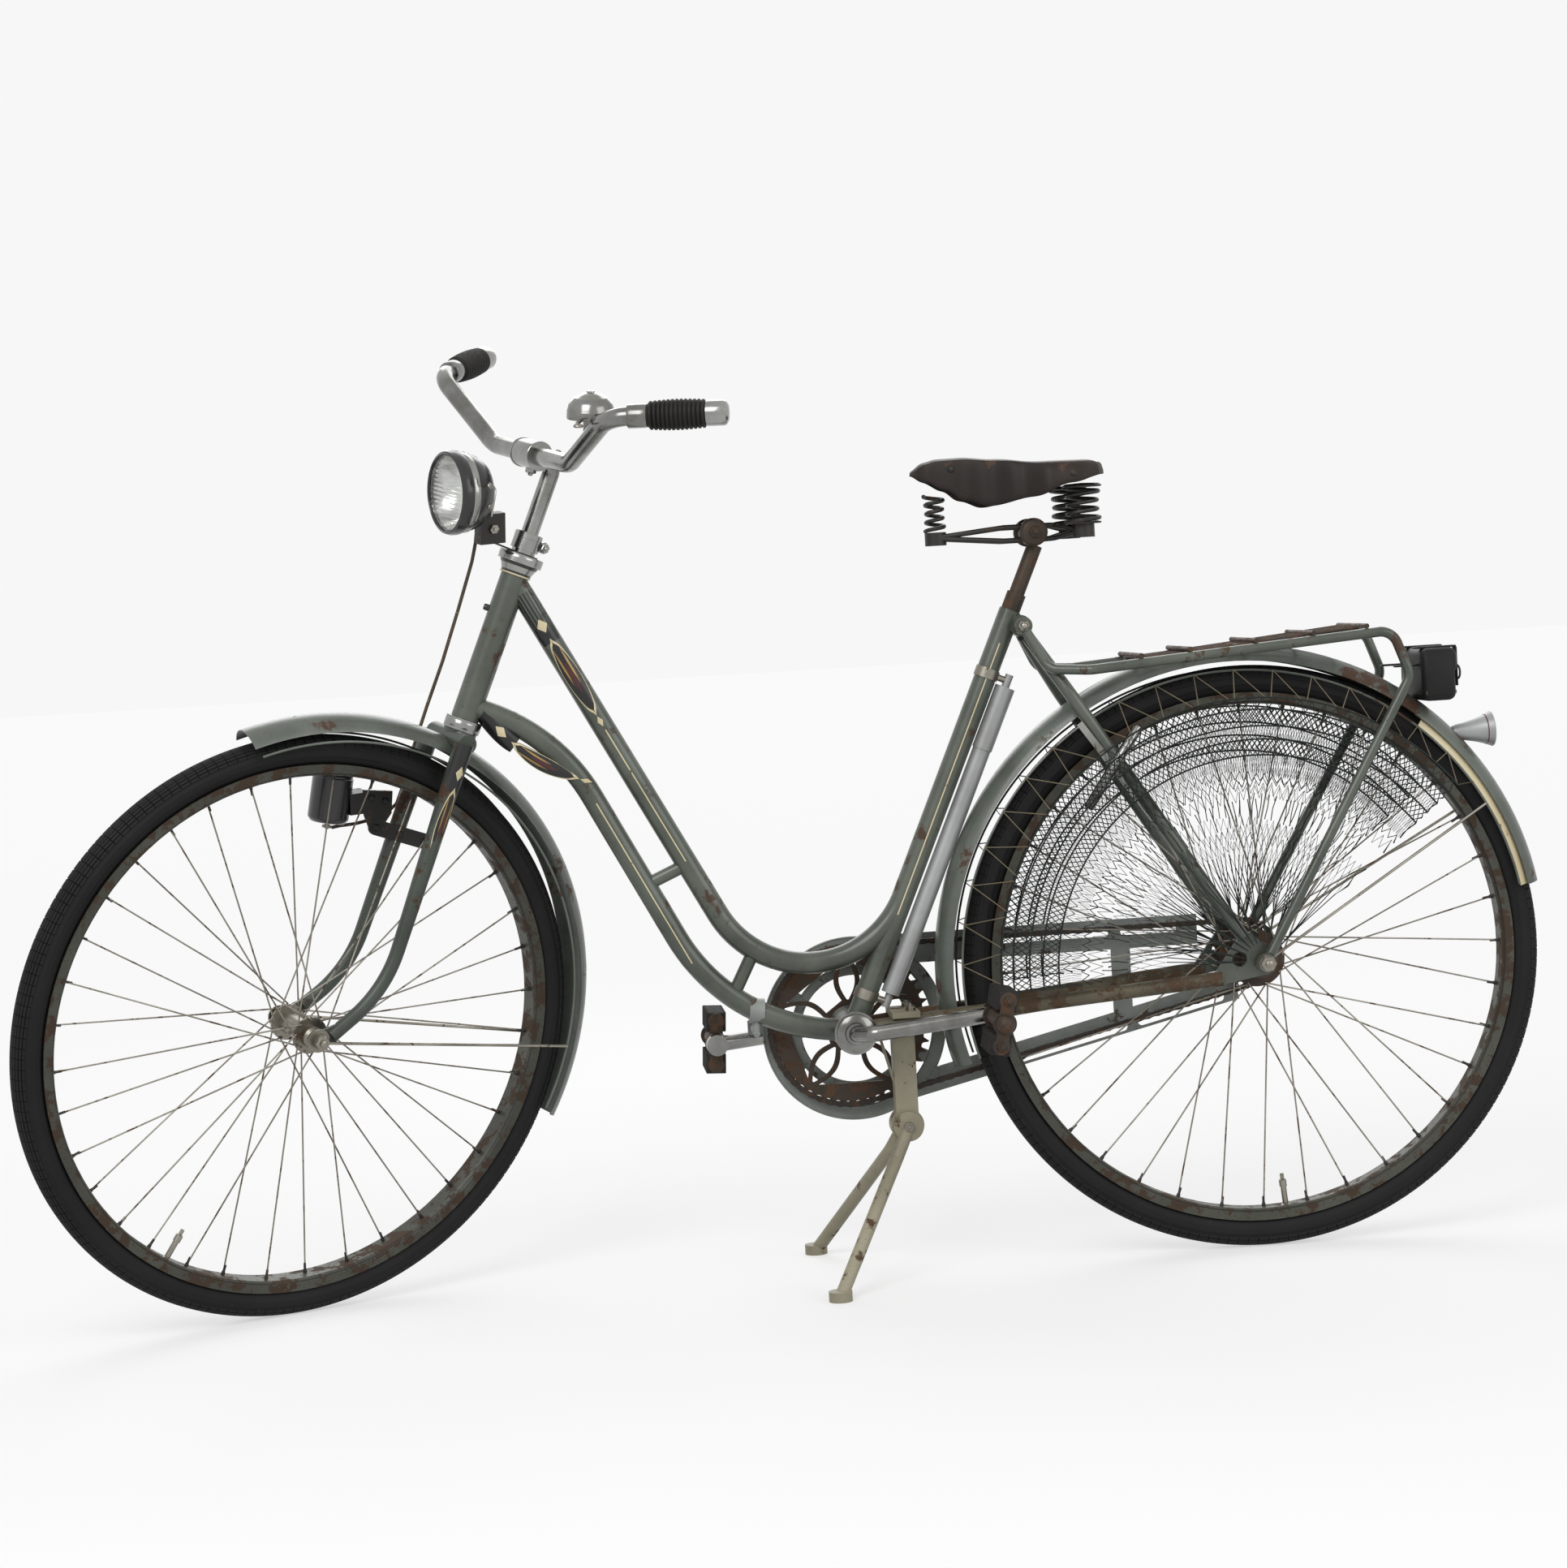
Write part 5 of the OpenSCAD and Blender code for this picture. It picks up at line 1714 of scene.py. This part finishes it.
@dataclass
class Drive:
    """Chain, chainring, sprocket, pedals and the guard's rolled rims."""

    teeth: int = 48
    sprocket: int = 20
    pitch: float = 12.7
    line_y: float = -44.0

    def pitch_r(self, teeth: int) -> float:
        """Gives the radius of the rollers' circle.

        Args:
            teeth: Number of teeth.

        Returns:
            Radius in millimetres.
        """
        return self.pitch / (2 * math.sin(math.pi / teeth))

    def belt(self) -> list[tuple[Vector, float]]:
        """Walks round the chain.

        Returns:
            The middle of each link and the angle it lies at.
        """
        big, small = self.pitch_r(self.teeth) * MM, self.pitch_r(self.sprocket) * MM
        front, rear = Vector((BRACKET.x, BRACKET.z)), Vector((REAR_HUB.x, REAR_HUB.z))
        between = front - rear
        reach = between.length
        heading = math.atan2(between.y, between.x)
        open_angle = math.acos((big - small) / reach)
        run = math.sqrt(reach ** 2 - (big - small) ** 2)
        arc_front = big * (TURN - 2 * open_angle)
        arc_rear = small * 2 * open_angle
        total = arc_front + arc_rear + 2 * run
        links = 2 * round(total / (self.pitch * MM) / 2)
        spots = []
        for i in range(links):
            d = total * i / links
            if d < arc_front:
                a = heading + math.pi - open_angle - d / big
                spots.append((front + Vector((math.cos(a), math.sin(a))) * big, a - math.pi / 2))
                continue
            d -= arc_front
            low = heading - math.pi + open_angle
            if d < run:
                start = front + Vector((math.cos(low), math.sin(low))) * big
                a = low - math.pi / 2
                spots.append((start + Vector((math.cos(a), math.sin(a))) * d, a))
                continue
            d -= run
            if d < arc_rear:
                a = low - d / small
                spots.append((rear + Vector((math.cos(a), math.sin(a))) * small, a - math.pi / 2))
                continue
            d -= arc_rear
            high = heading + math.pi - open_angle
            start = rear + Vector((math.cos(high), math.sin(high))) * small
            a = high - math.pi / 2
            spots.append((start + Vector((math.cos(a), math.sin(a))) * d, a))
        return spots

    def chain(self) -> None:
        """Models one inner and one outer link and lays them round the belt."""
        half = self.pitch / 2
        ends = [
            (
                half + 3.7 * math.cos(a), 3.7 * math.sin(a)
            ) for a in (math.radians(d) for d in range(-75, 76, 30))
        ]
        outline = ends + [(0, 2.6)] + [(-x, -y) for x, y in ends] + [(0, -2.6)]
        spots = self.belt()
        for kind, offset in (("inner", 2.3), ("outer", 3.4)):
            parts = []
            for side in (-1, 1):
                parts.append(plate(outline, [], 0.9, side_plane(side * offset), 0.1))
            if kind == "inner":
                for x in (-half, half):
                    parts.append(
                        lathe([(0, -2), (3.6, -2), (3.6, 2), (0, 2)], mm(x, 0, 0), LEFT, 8)
                    )
            else:
                for x in (-half, half):
                    parts.append(
                        lathe([(0, -4.3), (1.5, -4.3), (1.5, 4.3), (0, 4.3)], mm(x, 0, 0), LEFT, 6)
                    )
            first = 0 if kind == "inner" else 1
            places = [
                Matrix.Translation((p.x, self.line_y * MM, p.y)) @ Matrix.Rotation(-a, 4, "Y")
                for p, a in spots[first::2]
            ]
            obj = repeated(joined(parts), places)
            if kind == "outer":
                finish_piece(obj, "chain_outer_links", Look.CHAIN, "frame")
            else:
                finish_piece(
                    obj, "chain_inner_links", Look.CHAIN, "frame", ["chain"]
                )

    def gear(self, teeth: int) -> list[Point]:
        """Draws a toothed outline.

        Args:
            teeth: Number of teeth.

        Returns:
            The outline in millimetres.
        """
        r = self.pitch_r(teeth)
        outline = []
        for i in range(teeth):
            for share, above in TOOTH:
                radius = r + above
                a = TURN * (i + share) / teeth
                outline.append((radius * math.cos(a), radius * math.sin(a)))
        return outline

    def chainring(self) -> None:
        """Cuts the chainring with its ring of petals between the arms."""
        low, high = 32.0, 82.0
        holes = [
            [(9.6 * math.cos(TURN * i / 32), 9.6 * math.sin(TURN * i / 32)) for i in range(32)]
        ]

        def petal(r: float) -> float:
            """Gives the petal's half width at a radius."""
            return 9.5 * math.sin(math.pi * (r - low + 1) / (high - low + 2)) + 0.5

        radii = [low + (high - low) * i / 14 for i in range(15)]
        for k in range(5):
            mid = math.radians(90 + 72 * k)
            lens = [(mid + petal(r) / r, r) for r in radii] + [
                (mid - petal(r) / r, r) for r in reversed(radii)
            ]
            holes.append([(r * math.cos(a), r * math.sin(a)) for a, r in lens])
            gap = mid + math.radians(36)
            wide = [(gap + math.radians(36) - (petal(r) + 6.5) / r, r) for r in radii]
            wide += [(gap - math.radians(36) + (petal(r) + 6.5) / r, r) for r in reversed(radii)]
            holes.append([(r * math.cos(a), r * math.sin(a)) for a, r in wide])
        middle = Matrix.Translation((BRACKET.x, 0, BRACKET.z))
        ring = plate(self.gear(self.teeth), holes, 2.6, middle @ side_plane(self.line_y), 0.4)
        finish_piece(
            ring, "toothed_chainring", Look.RUSTED, "crankset", ["chainring"]
        )
        hole = [(15.4 * math.cos(TURN * i / 32), 15.4 * math.sin(TURN * i / 32)) for i in range(32)]
        rear = Matrix.Translation(REAR_HUB)
        cog = plate(self.gear(self.sprocket), [hole], 2.2, rear @ side_plane(self.line_y), 0.3)
        finish_piece(cog, "rear_sprocket", Look.CHAIN, "rear_wheel")

    def pedals(self) -> None:
        """Models each pedal's ribbed blocks, bolts and domed cap."""
        for side, name, tilt in ((1, "left", 12), (-1, "right", 3)):
            hub = place(f"{name}_pedal_spin")
            stand = Matrix.Translation(hub) @ Matrix.Rotation(math.radians(-tilt), 4, "Y")
            parts = []
            for up in (-1, 1):
                parts.append(
                    block(
                        Vector((0.0235, 0.0815, 0.0235)),
                        stand @ Matrix.Translation((0, 0, up * 0.026)), 3, 3
                    )
                )
                for k in range(9):
                    y = -0.036 + k * 0.009
                    parts.append(
                        block(
                            Vector((0.0245, 0.0034, 0.0245)),
                            stand @ Matrix.Translation((0, y, up * 0.026)), 0.8, 1
                        )
                    )
            finish_piece(
                joined(parts), f"pedal_blocks_{name}", Look.RUBBER, f"{name}_pedal",
                [f"pedal_{name}_rubbers"]
            )
            metal = []
            out = LEFT * side
            cap = [(0, 60), (4, 59.6), (8, 57), (10.5, 53), (11, 47), (11, 44), (0, 44)]
            metal.append(lathe(cap, hub, out, 28))
            for up in (-1, 1):
                foot = stand @ Vector((0, side * 0.0442, up * 0.027))
                metal.append(hex_nut(foot, out, 11, 4.5))
            finish_piece(
                joined(metal), f"pedal_caps_{name}", Look.RUSTED, f"{name}_pedal"
            )

    def crank_ends(self) -> None:
        """Adds the rings on the crank's ends."""
        parts = []
        for side, name in ((1, "left"), (-1, "right")):
            out = LEFT * side
            eye = place(f"{name}_pedal_spin")
            at = Vector((eye.x, side * 0.078, eye.z))
            parts.append(
                lathe(
                    [(0, 6.5), (12.6, 6.5), (13.4, 7.9), (12.6, 9.4), (7, 9.9), (0, 10)], at, out,
                    36
                )
            )
            base = Vector((BRACKET.x, side * 0.0385, BRACKET.z))
            parts.append(
                lathe(
                    [(9.6, 0), (21, 0), (23, 1.4), (21, 3), (14, 4.4), (13, 8), (9.6, 8)], base,
                    out, 40
                )
            )
        finish_piece(joined(parts), "crank_rings", Look.CHROME, "crankset")

    def guard_rims(self) -> None:
        """Rolls the edges of the chain guard and bolts it to its arms."""
        centre = Vector((BRACKET.x - 0.008, -0.0612, BRACKET.z - 0.006))
        rings = []
        for r in (112.0, 97.5, 76.5, 67.0):
            rings.append(
                [
                    centre + mm(
                        r * math.cos(TURN * i / 96), 0, r * math.sin(TURN * i / 96)
                    ) for i in range(96)
                ]
            )
        finish_piece(
            strands(rings, 1.5, 1, closed=True), "guard_rims", Look.GUARD, "frame"
        )
        bolts = []
        for degrees in (30, 150, 205, 330):
            a = math.radians(degrees)
            bolts.append(
                hex_nut(centre + mm(104.5 * math.cos(a), -0.8, 104.5 * math.sin(a)), -LEFT, 9, 3)
            )
        finish_piece(joined(bolts), "guard_bolts", Look.RUSTED, "frame")

    def build(self) -> None:
        """Models the whole drive."""
        self.chain()
        self.chainring()
        self.pedals()
        self.crank_ends()
        self.guard_rims()


# ---------------------------------------------------------------- frame trim


@dataclass
class Tube:
    """A stretch of tube that carries painted ornament on both of its sides."""

    name: str
    start: Vector
    end: Vector
    radius: float
    bow: float = 0.0
    y: float = 0.0
    body: str = "frame"
    turn: Matrix = None

    def at(self, along: float, around: float, lift: float, side: int) -> Vector:
        """Finds a point on the tube's skin.

        Args:
            along: Distance from the start, in millimetres.
            around: Distance round the skin from its outermost line, in millimetres, up positive.
            lift: Height over the skin, in millimetres.
            side: 1 on the left face of the tube, -1 on the right.

        Returns:
            The point.
        """
        run = self.end - self.start
        length = run.length
        ahead = run / length
        over = Vector((ahead.z, 0, -ahead.x))
        if over.z < 0:
            over = -over
        share = along * MM / length
        middle = self.start + run * share + over * self.bow * MM * 4 * share * (1 - share)
        a = around / self.radius
        out = LEFT * side * math.cos(a) + over * math.sin(a)
        return middle + out * (self.radius + lift) * MM + LEFT * self.y * MM * side

    def panel(
        self, first: float, last: float, width: Callable[[float], float], lift: float,
        shift: float = 0.0
    ) -> bpy.types.Object:
        """Lays a painted shape on both sides of the tube.

        Args:
            first: Where it starts, in millimetres along the tube.
            last: Where it ends.
            width: Gives its half width from 0 to 1 along it.
            lift: Height over the skin, in millimetres.
            shift: How far its middle lies up round the tube.

        Returns:
            The thin shape.
        """
        rows, across = 28, 8
        points, faces = [], []
        for side in (1, -1):
            base = len(points)
            for i in range(rows + 1):
                t = i / rows
                for k in range(across + 1):
                    w = width(t) * (2 * k / across - 1) + shift
                    points.append(self.at(first + (last - first) * t, w, lift, side))
            for i in range(rows):
                for k in range(across):
                    a = base + i * (across + 1) + k
                    faces.append((a, a + 1, a + across + 2, a + across + 1))
        mesh = bpy.data.meshes.new("panel")
        mesh.from_pydata(points, [], faces)
        obj = bpy.data.objects.new("panel", mesh)
        bpy.context.collection.objects.link(obj)
        pick(obj)
        bpy.ops.object.mode_set(mode="EDIT")
        bpy.ops.mesh.select_all(action="SELECT")
        bpy.ops.mesh.remove_doubles(threshold=0.00001)
        bpy.ops.object.mode_set(mode="OBJECT")
        for face in obj.data.polygons:
            if face.normal.y * (1 if face.center.y > 0 else -1) < 0:
                face.flip()
        apply(obj, "SOLIDIFY", thickness=0.00015, offset=-1)
        return obj

    def dart(self, first: float, length: float, wide: float) -> None:
        """Paints one ornament: a black dart edged in cream, with gold strips and a diamond.

        Args:
            first: Where it starts along the tube, in millimetres.
            length: Its length.
            wide: Its half width.
        """
        def leaf(t: float) -> float:
            """Widest near the middle and pointed at both ends."""
            return wide * (
                0.16 + 0.84 * math.sin(math.pi * t) ** 0.8
            ) * min(1, 12 * t, 12 * (1 - t))

        def diamond(t: float) -> float:
            """Gives a diamond's half width."""
            return 0.62 * wide * (1 - abs(2 * t - 1))

        turn = self.turn or STRAIGHT
        lug = self.panel(0, first + 6, lambda t: self.radius * 1.35 * (1 - 0.35 * t ** 3), 0.12)
        inner = self.panel(first + 4, first + length - 4, lambda t: max(leaf(t) - 0.9, 0.05), 0.32)
        finish_piece(
            joined([lug, inner]), f"{self.name}_black_panels", Look.INK, self.body,
            place_by=turn
        )
        edge = self.panel(first, first + length, leaf, 0.22)
        spot = self.panel(first - 26, first - 8, diamond, 0.24)
        tip = self.panel(first + length + 1, first + length + 15, lambda t: 0.5 * diamond(t), 0.24)
        finish_piece(
            joined([edge, spot, tip]), f"{self.name}_cream_edges", Look.CREAM, self.body,
            place_by=turn
        )
        heart = self.panel(
            first + length * 0.3, first + length * 0.72,
            lambda t: 0.3 * wide * math.sin(math.pi * t), 0.42
        )
        finish_piece(
            heart, f"{self.name}_maroon_heart", Look.MAROON, self.body, place_by=turn
        )
        strips = [
            self.panel(
                first + length * 0.12, first + length * 0.6,
                lambda t: 0.11 * wide * math.sin(math.pi * t), 0.5, s * 0.38 * wide
            ) for s in (-1, 1)
        ]
        finish_piece(
            joined(strips), f"{self.name}_gold_strips", Look.GOLD, self.body,
            place_by=turn
        )

    def pinline(self, first: float, last: float) -> bpy.types.Object:
        """Paints a thin line along both sides.

        Args:
            first: Where it starts, in millimetres along the tube.
            last: Where it ends.

        Returns:
            The line.
        """
        return self.panel(first, last, lambda t: 0.75, 0.1)


@dataclass
class FrameTrim:
    """Painted ornament and fastenings of the frame and the fork."""

    def ornament(self) -> None:
        """Paints the darts and pinlines."""
        upper_head = on_axis(HEAD_TOP - 20)
        slope = math.radians(62.1)
        down = Vector((-math.cos(slope), 0, -math.sin(slope)))
        upper = Tube("upper_tube", upper_head + down * 20 * MM, upper_head + down * 400 * MM, 13.5)
        upper.dart(62, 108, 11)
        root = on_axis(HEAD_LOW + 16.6)
        lower_slope = math.radians(22)
        away = Vector((-math.cos(lower_slope), 0, -math.sin(lower_slope)))
        lower_start = root + away * 18 * MM
        corner = root + away * 108.3 * MM
        after = (BRACKET + mm(148.4, 0, 13) - corner).normalized()
        lower = Tube("lower_tube", lower_start, corner + after * 62 * MM, 13.5, bow=-12.5)
        lower.dart(48, 92, 10)
        straight = Tube("lower_run", corner + after * 95 * MM, corner + after * 320 * MM, 13.5)
        hub = FRONT_HUB
        top = on_axis(736.3, 14)
        top.y = 0
        bottom = hub + mm(-90, 0, 46.5)
        blade = Tube(
            "blade", top, top + (bottom - top) * 0.86, 11.6, y=44.0, body="fork", turn=STEER
        )
        blade.dart(52, 96, 8)
        lines = [upper.pinline(190, 375), straight.pinline(0, 225)]
        seat_slope = math.radians(66.1)
        up = Vector((-math.cos(seat_slope), 0, math.sin(seat_slope)))
        seat = Tube("seat_line", BRACKET + up * 150 * MM, BRACKET + up * 500 * MM, 13.5)
        lines.append(seat.pinline(0, 350))
        finish_piece(joined(lines), "frame_pinlines", Look.CREAM, "frame")
        finish_piece(
            blade.pinline(165, 240), "blade_pinlines", Look.CREAM, "fork", place_by=STEER
        )

    def fastenings(self) -> None:
        """Bolts down the axles, the seat cluster and the stand."""
        rear, front = [], []
        for side in (-1, 1):
            out = LEFT * side
            rear.append(hex_nut(REAR_HUB + out * 0.090, out, 19, 9))
            rear.append(hex_nut(REAR_HUB + out * 0.0625, out, 22, 9))
            front.append(hex_nut(FRONT_HUB + out * 0.0625, out, 18, 7))
            front.append(lathe([(5, 55), (14, 55), (14, 57), (5, 57)], FRONT_HUB, out, 24))
        seat_slope = math.radians(66.1)
        up = Vector((-math.cos(seat_slope), 0, math.sin(seat_slope)))
        cluster = BRACKET + up * 542 * MM + mm(-10, 0, -19)
        for side in (-1, 1):
            rear.append(hex_nut(cluster + LEFT * side * 0.034, LEFT * side, 14, 6))
        stand = place("stand_fold")
        for side in (-1, 1):
            rear.append(hex_nut(stand + LEFT * side * 0.026, LEFT * side, 13, 5))
        for x, y in ((-0.010, 0.022), (-0.010, -0.022)):
            rear.append(
                hex_nut(Vector((stand.x + x, y, BRACKET.z + 0.021)), Vector((0, 0, 1)), 12, 5)
            )
        finish_piece(joined(rear), "frame_nuts", Look.NICKEL, "frame")
        finish_piece(
            joined(front), "front_axle_nuts", Look.NICKEL, "fork", place_by=STEER
        )

    def fender_edges(self) -> None:
        """Rolls the free edges of both fenders."""
        fenders = (
            ("rear", "frame", STRAIGHT, REAR_HUB + mm(12, 0, 3), 348, 30.2, range(-17, 170)),
            ("front", "fork", STEER, FRONT_HUB + mm(-22, 0, 15), 335, 29.2, range(78, 210)),
        )
        for name, body, turn, centre, radius, half, degrees in fenders:
            edges = []
            for y in (-half, half):
                angles = [math.radians(a) for a in degrees]
                edges.append(
                    [centre + mm(radius * math.cos(a), y, radius * math.sin(a)) for a in angles]
                )
            edge = strands(edges, 1.5, 1)
            finish_piece(edge, f"{name}_fender_edges", Look.FENDER, body, place_by=turn)

    def cream_tail(self) -> None:
        """Paints the lower end of the rear fender cream."""
        centre = REAR_HUB + mm(12, 0, 3)
        rows, across, bow = 40, 16, 32.85
        points, faces = [], []
        for i in range(rows + 1):
            a = math.radians(130 + 39.3 * i / rows)
            for k in range(across + 1):
                turn = math.radians(67 * (2 * k / across - 1))
                reach = 336 + bow * math.cos(turn)
                points.append(
                    centre + mm(reach * math.cos(a), bow * math.sin(turn), reach * math.sin(a))
                )
        for i in range(rows):
            for k in range(across):
                a = i * (across + 1) + k
                faces.append((a, a + 1, a + across + 2, a + across + 1))
        mesh = bpy.data.meshes.new("cream_tail")
        mesh.from_pydata(points, [], faces)
        obj = bpy.data.objects.new("cream_tail", mesh)
        bpy.context.collection.objects.link(obj)
        if (mesh.polygons[0].center - centre).dot(mesh.polygons[0].normal) < 0:
            mesh.flip_normals()
        pick(obj)
        apply(obj, "SOLIDIFY", thickness=0.00015, offset=-1)
        finish_piece(obj, "fender_cream_tail", Look.CREAM, "frame")

    def lock(self) -> None:
        """Adds the barrel of the frame lock."""
        at = mm(168, 54, 600)
        lean = Vector((math.sin(math.radians(-35)), 0, math.cos(math.radians(35))))
        barrel = [(0, -58), (5, -58), (6.4, -56), (6.4, 56), (5, 58), (0, 58)]
        finish_piece(
            lathe(barrel, at, lean, 24), "lock_barrel", Look.CHROME, "frame"
        )

    def build(self) -> None:
        """Models all the trim."""
        self.ornament()
        self.fastenings()
        self.fender_edges()
        self.cream_tail()
        self.lock()


# ---------------------------------------------------------------- CAD nodes and the room


DRESS: dict[Look, str] = {
    Look.ENAMEL: (
        "head_tube upper_tube lower_tube cross_struts seat_tube bottom_bracket seat_stays"
        " rear_dropouts rack_frame"
    ),
    Look.FENDER: "rear_fender front_fender",
    Look.BLADE: "fork",
    Look.CHAINSTAY: "chain_stays",
    Look.RIM: "front_rim rear_rim",
    Look.CHROME: "headset_cups bearing_cups stem handlebar bell crank frame_lock",
    Look.NICKEL: "rear_axle rear_fender_stays pump_clips front_axle front_fender_stays front_hub",
    Look.RUSTED: "seat_post rack_rods rear_hub pedal_left pedal_right chainring",
    Look.CHAIN: "chain",
    Look.SPOKE: "front_spokes rear_spokes",
    Look.PUMP: "pump",
    Look.GUARD: "chain_guard tail_lamp",
    Look.STAND: "stand_bracket stand_legs",
    Look.BLACK: "headlamp dynamo",
    Look.DARKSTEEL: "lamp_bracket dynamo_bracket saddle_frame saddle_springs",
    Look.TYRE: "front_tyre rear_tyre",
    Look.RUBBER: "grips pedal_left_rubbers pedal_right_rubbers",
    Look.HIDE: "saddle_leather",
    Look.BAG: "tool_bag",
    Look.WIRE: "lamp_wire",
    Look.NET: "skirt_guard_left skirt_guard_right",
}


def dress_cad() -> None:
    """Gives every CAD node its finish."""
    for look, nodes in DRESS.items():
        for node in nodes.split():
            data = frame["nodes"][node].data
            data.materials.clear()
            data.materials.append(look.value.material())


@dataclass
class Studio:
    """Pale floor, soft lamps and the camera."""

    lens: float = 80.96
    eye: Vector = None

    def __post_init__(self) -> None:
        """Places the camera."""
        self.eye = Vector((0.91087, 4.22938, 0.84118))

    def pale(self, name: str, seen: float, lit: Colour) -> bpy.types.Material:
        """Makes the floor's material: plain and pale, keeping the shadow.

        Args:
            name: The material's name.
            seen: Strength of its own glow near the object.
            lit: Colour of the share that takes light.

        Returns:
            The material.
        """
        made = bpy.data.materials.new(name)
        made.use_nodes = True
        shader = made.node_tree.nodes["Principled BSDF"]
        shader.inputs["Base Color"].default_value = (*lit, 1)
        shader.inputs["Roughness"].default_value = 0.9
        shader.inputs["Specular IOR Level"].default_value = 0.1
        shader.inputs["Emission Color"].default_value = (1, 1, 1, 1)
        sheet = Sheet(made.node_tree)
        where = sheet.add("ShaderNodeNewGeometry").outputs["Position"]
        gone = sheet.add(
            "ShaderNodeVectorMath", {0: where, 1: (0.6, 0.0, 0.0)}, operation="DISTANCE"
        ).outputs["Value"]
        far = sheet.add(
            "ShaderNodeMapRange", {0: gone, 1: 1.3, 2: 3.6}, interpolation_type="SMOOTHSTEP"
        ).outputs[0]
        colour = sheet.add(
            "ShaderNodeMix", {0: far, 6: (*lit, 1), 7: (0, 0, 0, 1)}, data_type="RGBA"
        ).outputs[2]
        made.node_tree.links.new(colour, shader.inputs["Base Color"])
        power = sheet.add(
            "ShaderNodeMath", {0: self.looked_at(sheet), 1: sheet.blend(far, seen, 0.915)},
            operation="MULTIPLY"
        )
        made.node_tree.links.new(power.outputs[0], shader.inputs["Emission Strength"])
        return made

    def looked_at(self, sheet: Sheet) -> bpy.types.NodeSocket:
        """Masks the rays that show a surface: straight, mirrored or through glass.

        Args:
            sheet: Where the nodes go.

        Returns:
            The mask.
        """
        rays = sheet.add("ShaderNodeLightPath")
        seen = sheet.add(
            "ShaderNodeMath", {0: rays.outputs["Is Camera Ray"], 1: rays.outputs["Is Glossy Ray"]},
            operation="MAXIMUM"
        )
        return sheet.add(
            "ShaderNodeMath", {0: seen.outputs[0], 1: rays.outputs["Is Transmission Ray"]},
            operation="MAXIMUM"
        ).outputs[0]

    def floor(self) -> None:
        """Lays a wide plain floor."""
        clear_selection()
        bpy.ops.mesh.primitive_plane_add(size=60, location=(0.6, 0, 0))
        obj = bpy.context.object
        obj.name = "floor"
        obj.data.materials.append(self.pale("pale_floor", 0.5, (0.435, 0.435, 0.435)))

    def world(self) -> None:
        """Lights the room evenly and shows it pale."""
        world = bpy.data.worlds.new("room")
        bpy.context.scene.world = world
        world.use_nodes = True
        tree = world.node_tree
        sheet = Sheet(tree)
        tree.nodes["Background"].inputs["Color"].default_value = (0.93, 0.93, 0.93, 1)
        tree.links.new(
            sheet.blend(self.looked_at(sheet), 0.62, 1.0),
            tree.nodes["Background"].inputs["Strength"]
        )

    def lamp(self, name: str, at: Vector, towards: Vector, size: float, power: float) -> None:
        """Hangs one soft lamp.

        Args:
            name: Its name.
            at: Where it hangs.
            towards: What it faces.
            size: Its width in metres.
            power: Its power in watts.
        """
        data = bpy.data.lights.new(name, "AREA")
        data.shape = "SQUARE"
        data.size = size
        data.energy = power
        obj = bpy.data.objects.new(name, data)
        obj.matrix_world = Matrix.Translation(at) @ (
            at - towards
        ).to_track_quat("Z", "Y").to_matrix().to_4x4()
        bpy.context.collection.objects.link(obj)

    def camera(self) -> None:
        """Sets the camera to the side, slightly turned and leaning."""
        ahead = Vector((-0.0822835, -0.9950165, -0.0563177))
        right = Vector((-0.9946807, 0.0855067, -0.0574370))
        up = right.cross(ahead)
        data = bpy.data.cameras.new("camera")
        data.sensor_width = 36
        data.lens = self.lens
        data.clip_end = 100
        obj = bpy.data.objects.new("camera", data)
        turn = Matrix((right, up, -ahead)).transposed().to_4x4()
        obj.matrix_world = Matrix.Translation(self.eye) @ turn
        bpy.context.collection.objects.link(obj)
        bpy.context.scene.camera = obj

    def build(self) -> None:
        """Sets up the whole room."""
        self.floor()
        self.world()
        middle = Vector((0.6, 0, 0.5))
        self.lamp("key", Vector((2.4, 3.4, 3.4)), middle, 2.6, 95)
        self.lamp("fill", Vector((-2.4, 2.8, 2.0)), middle, 2.6, 40)
        self.lamp("back", Vector((0.4, -3.4, 3.0)), middle, 3.0, 60)
        self.camera()
        bpy.context.scene.view_settings.view_transform = "Standard"


def main() -> None:
    """Builds the bicycle's finished look."""
    logging.basicConfig(level=logging.INFO, format="%(message)s")
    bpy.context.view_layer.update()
    dress_cad()
    Wheel(front=True).build()
    Wheel(front=False).build()
    SkirtNet(left=True).build()
    SkirtNet(left=False).build()
    Saddle().build()
    Carrier().build()
    Bars().build()
    Headlamp().build()
    Dynamo().build()
    Drive().build()
    FrameTrim().build()
    Studio().build()
    clear_selection()


if __name__ == "__main__":
    main()
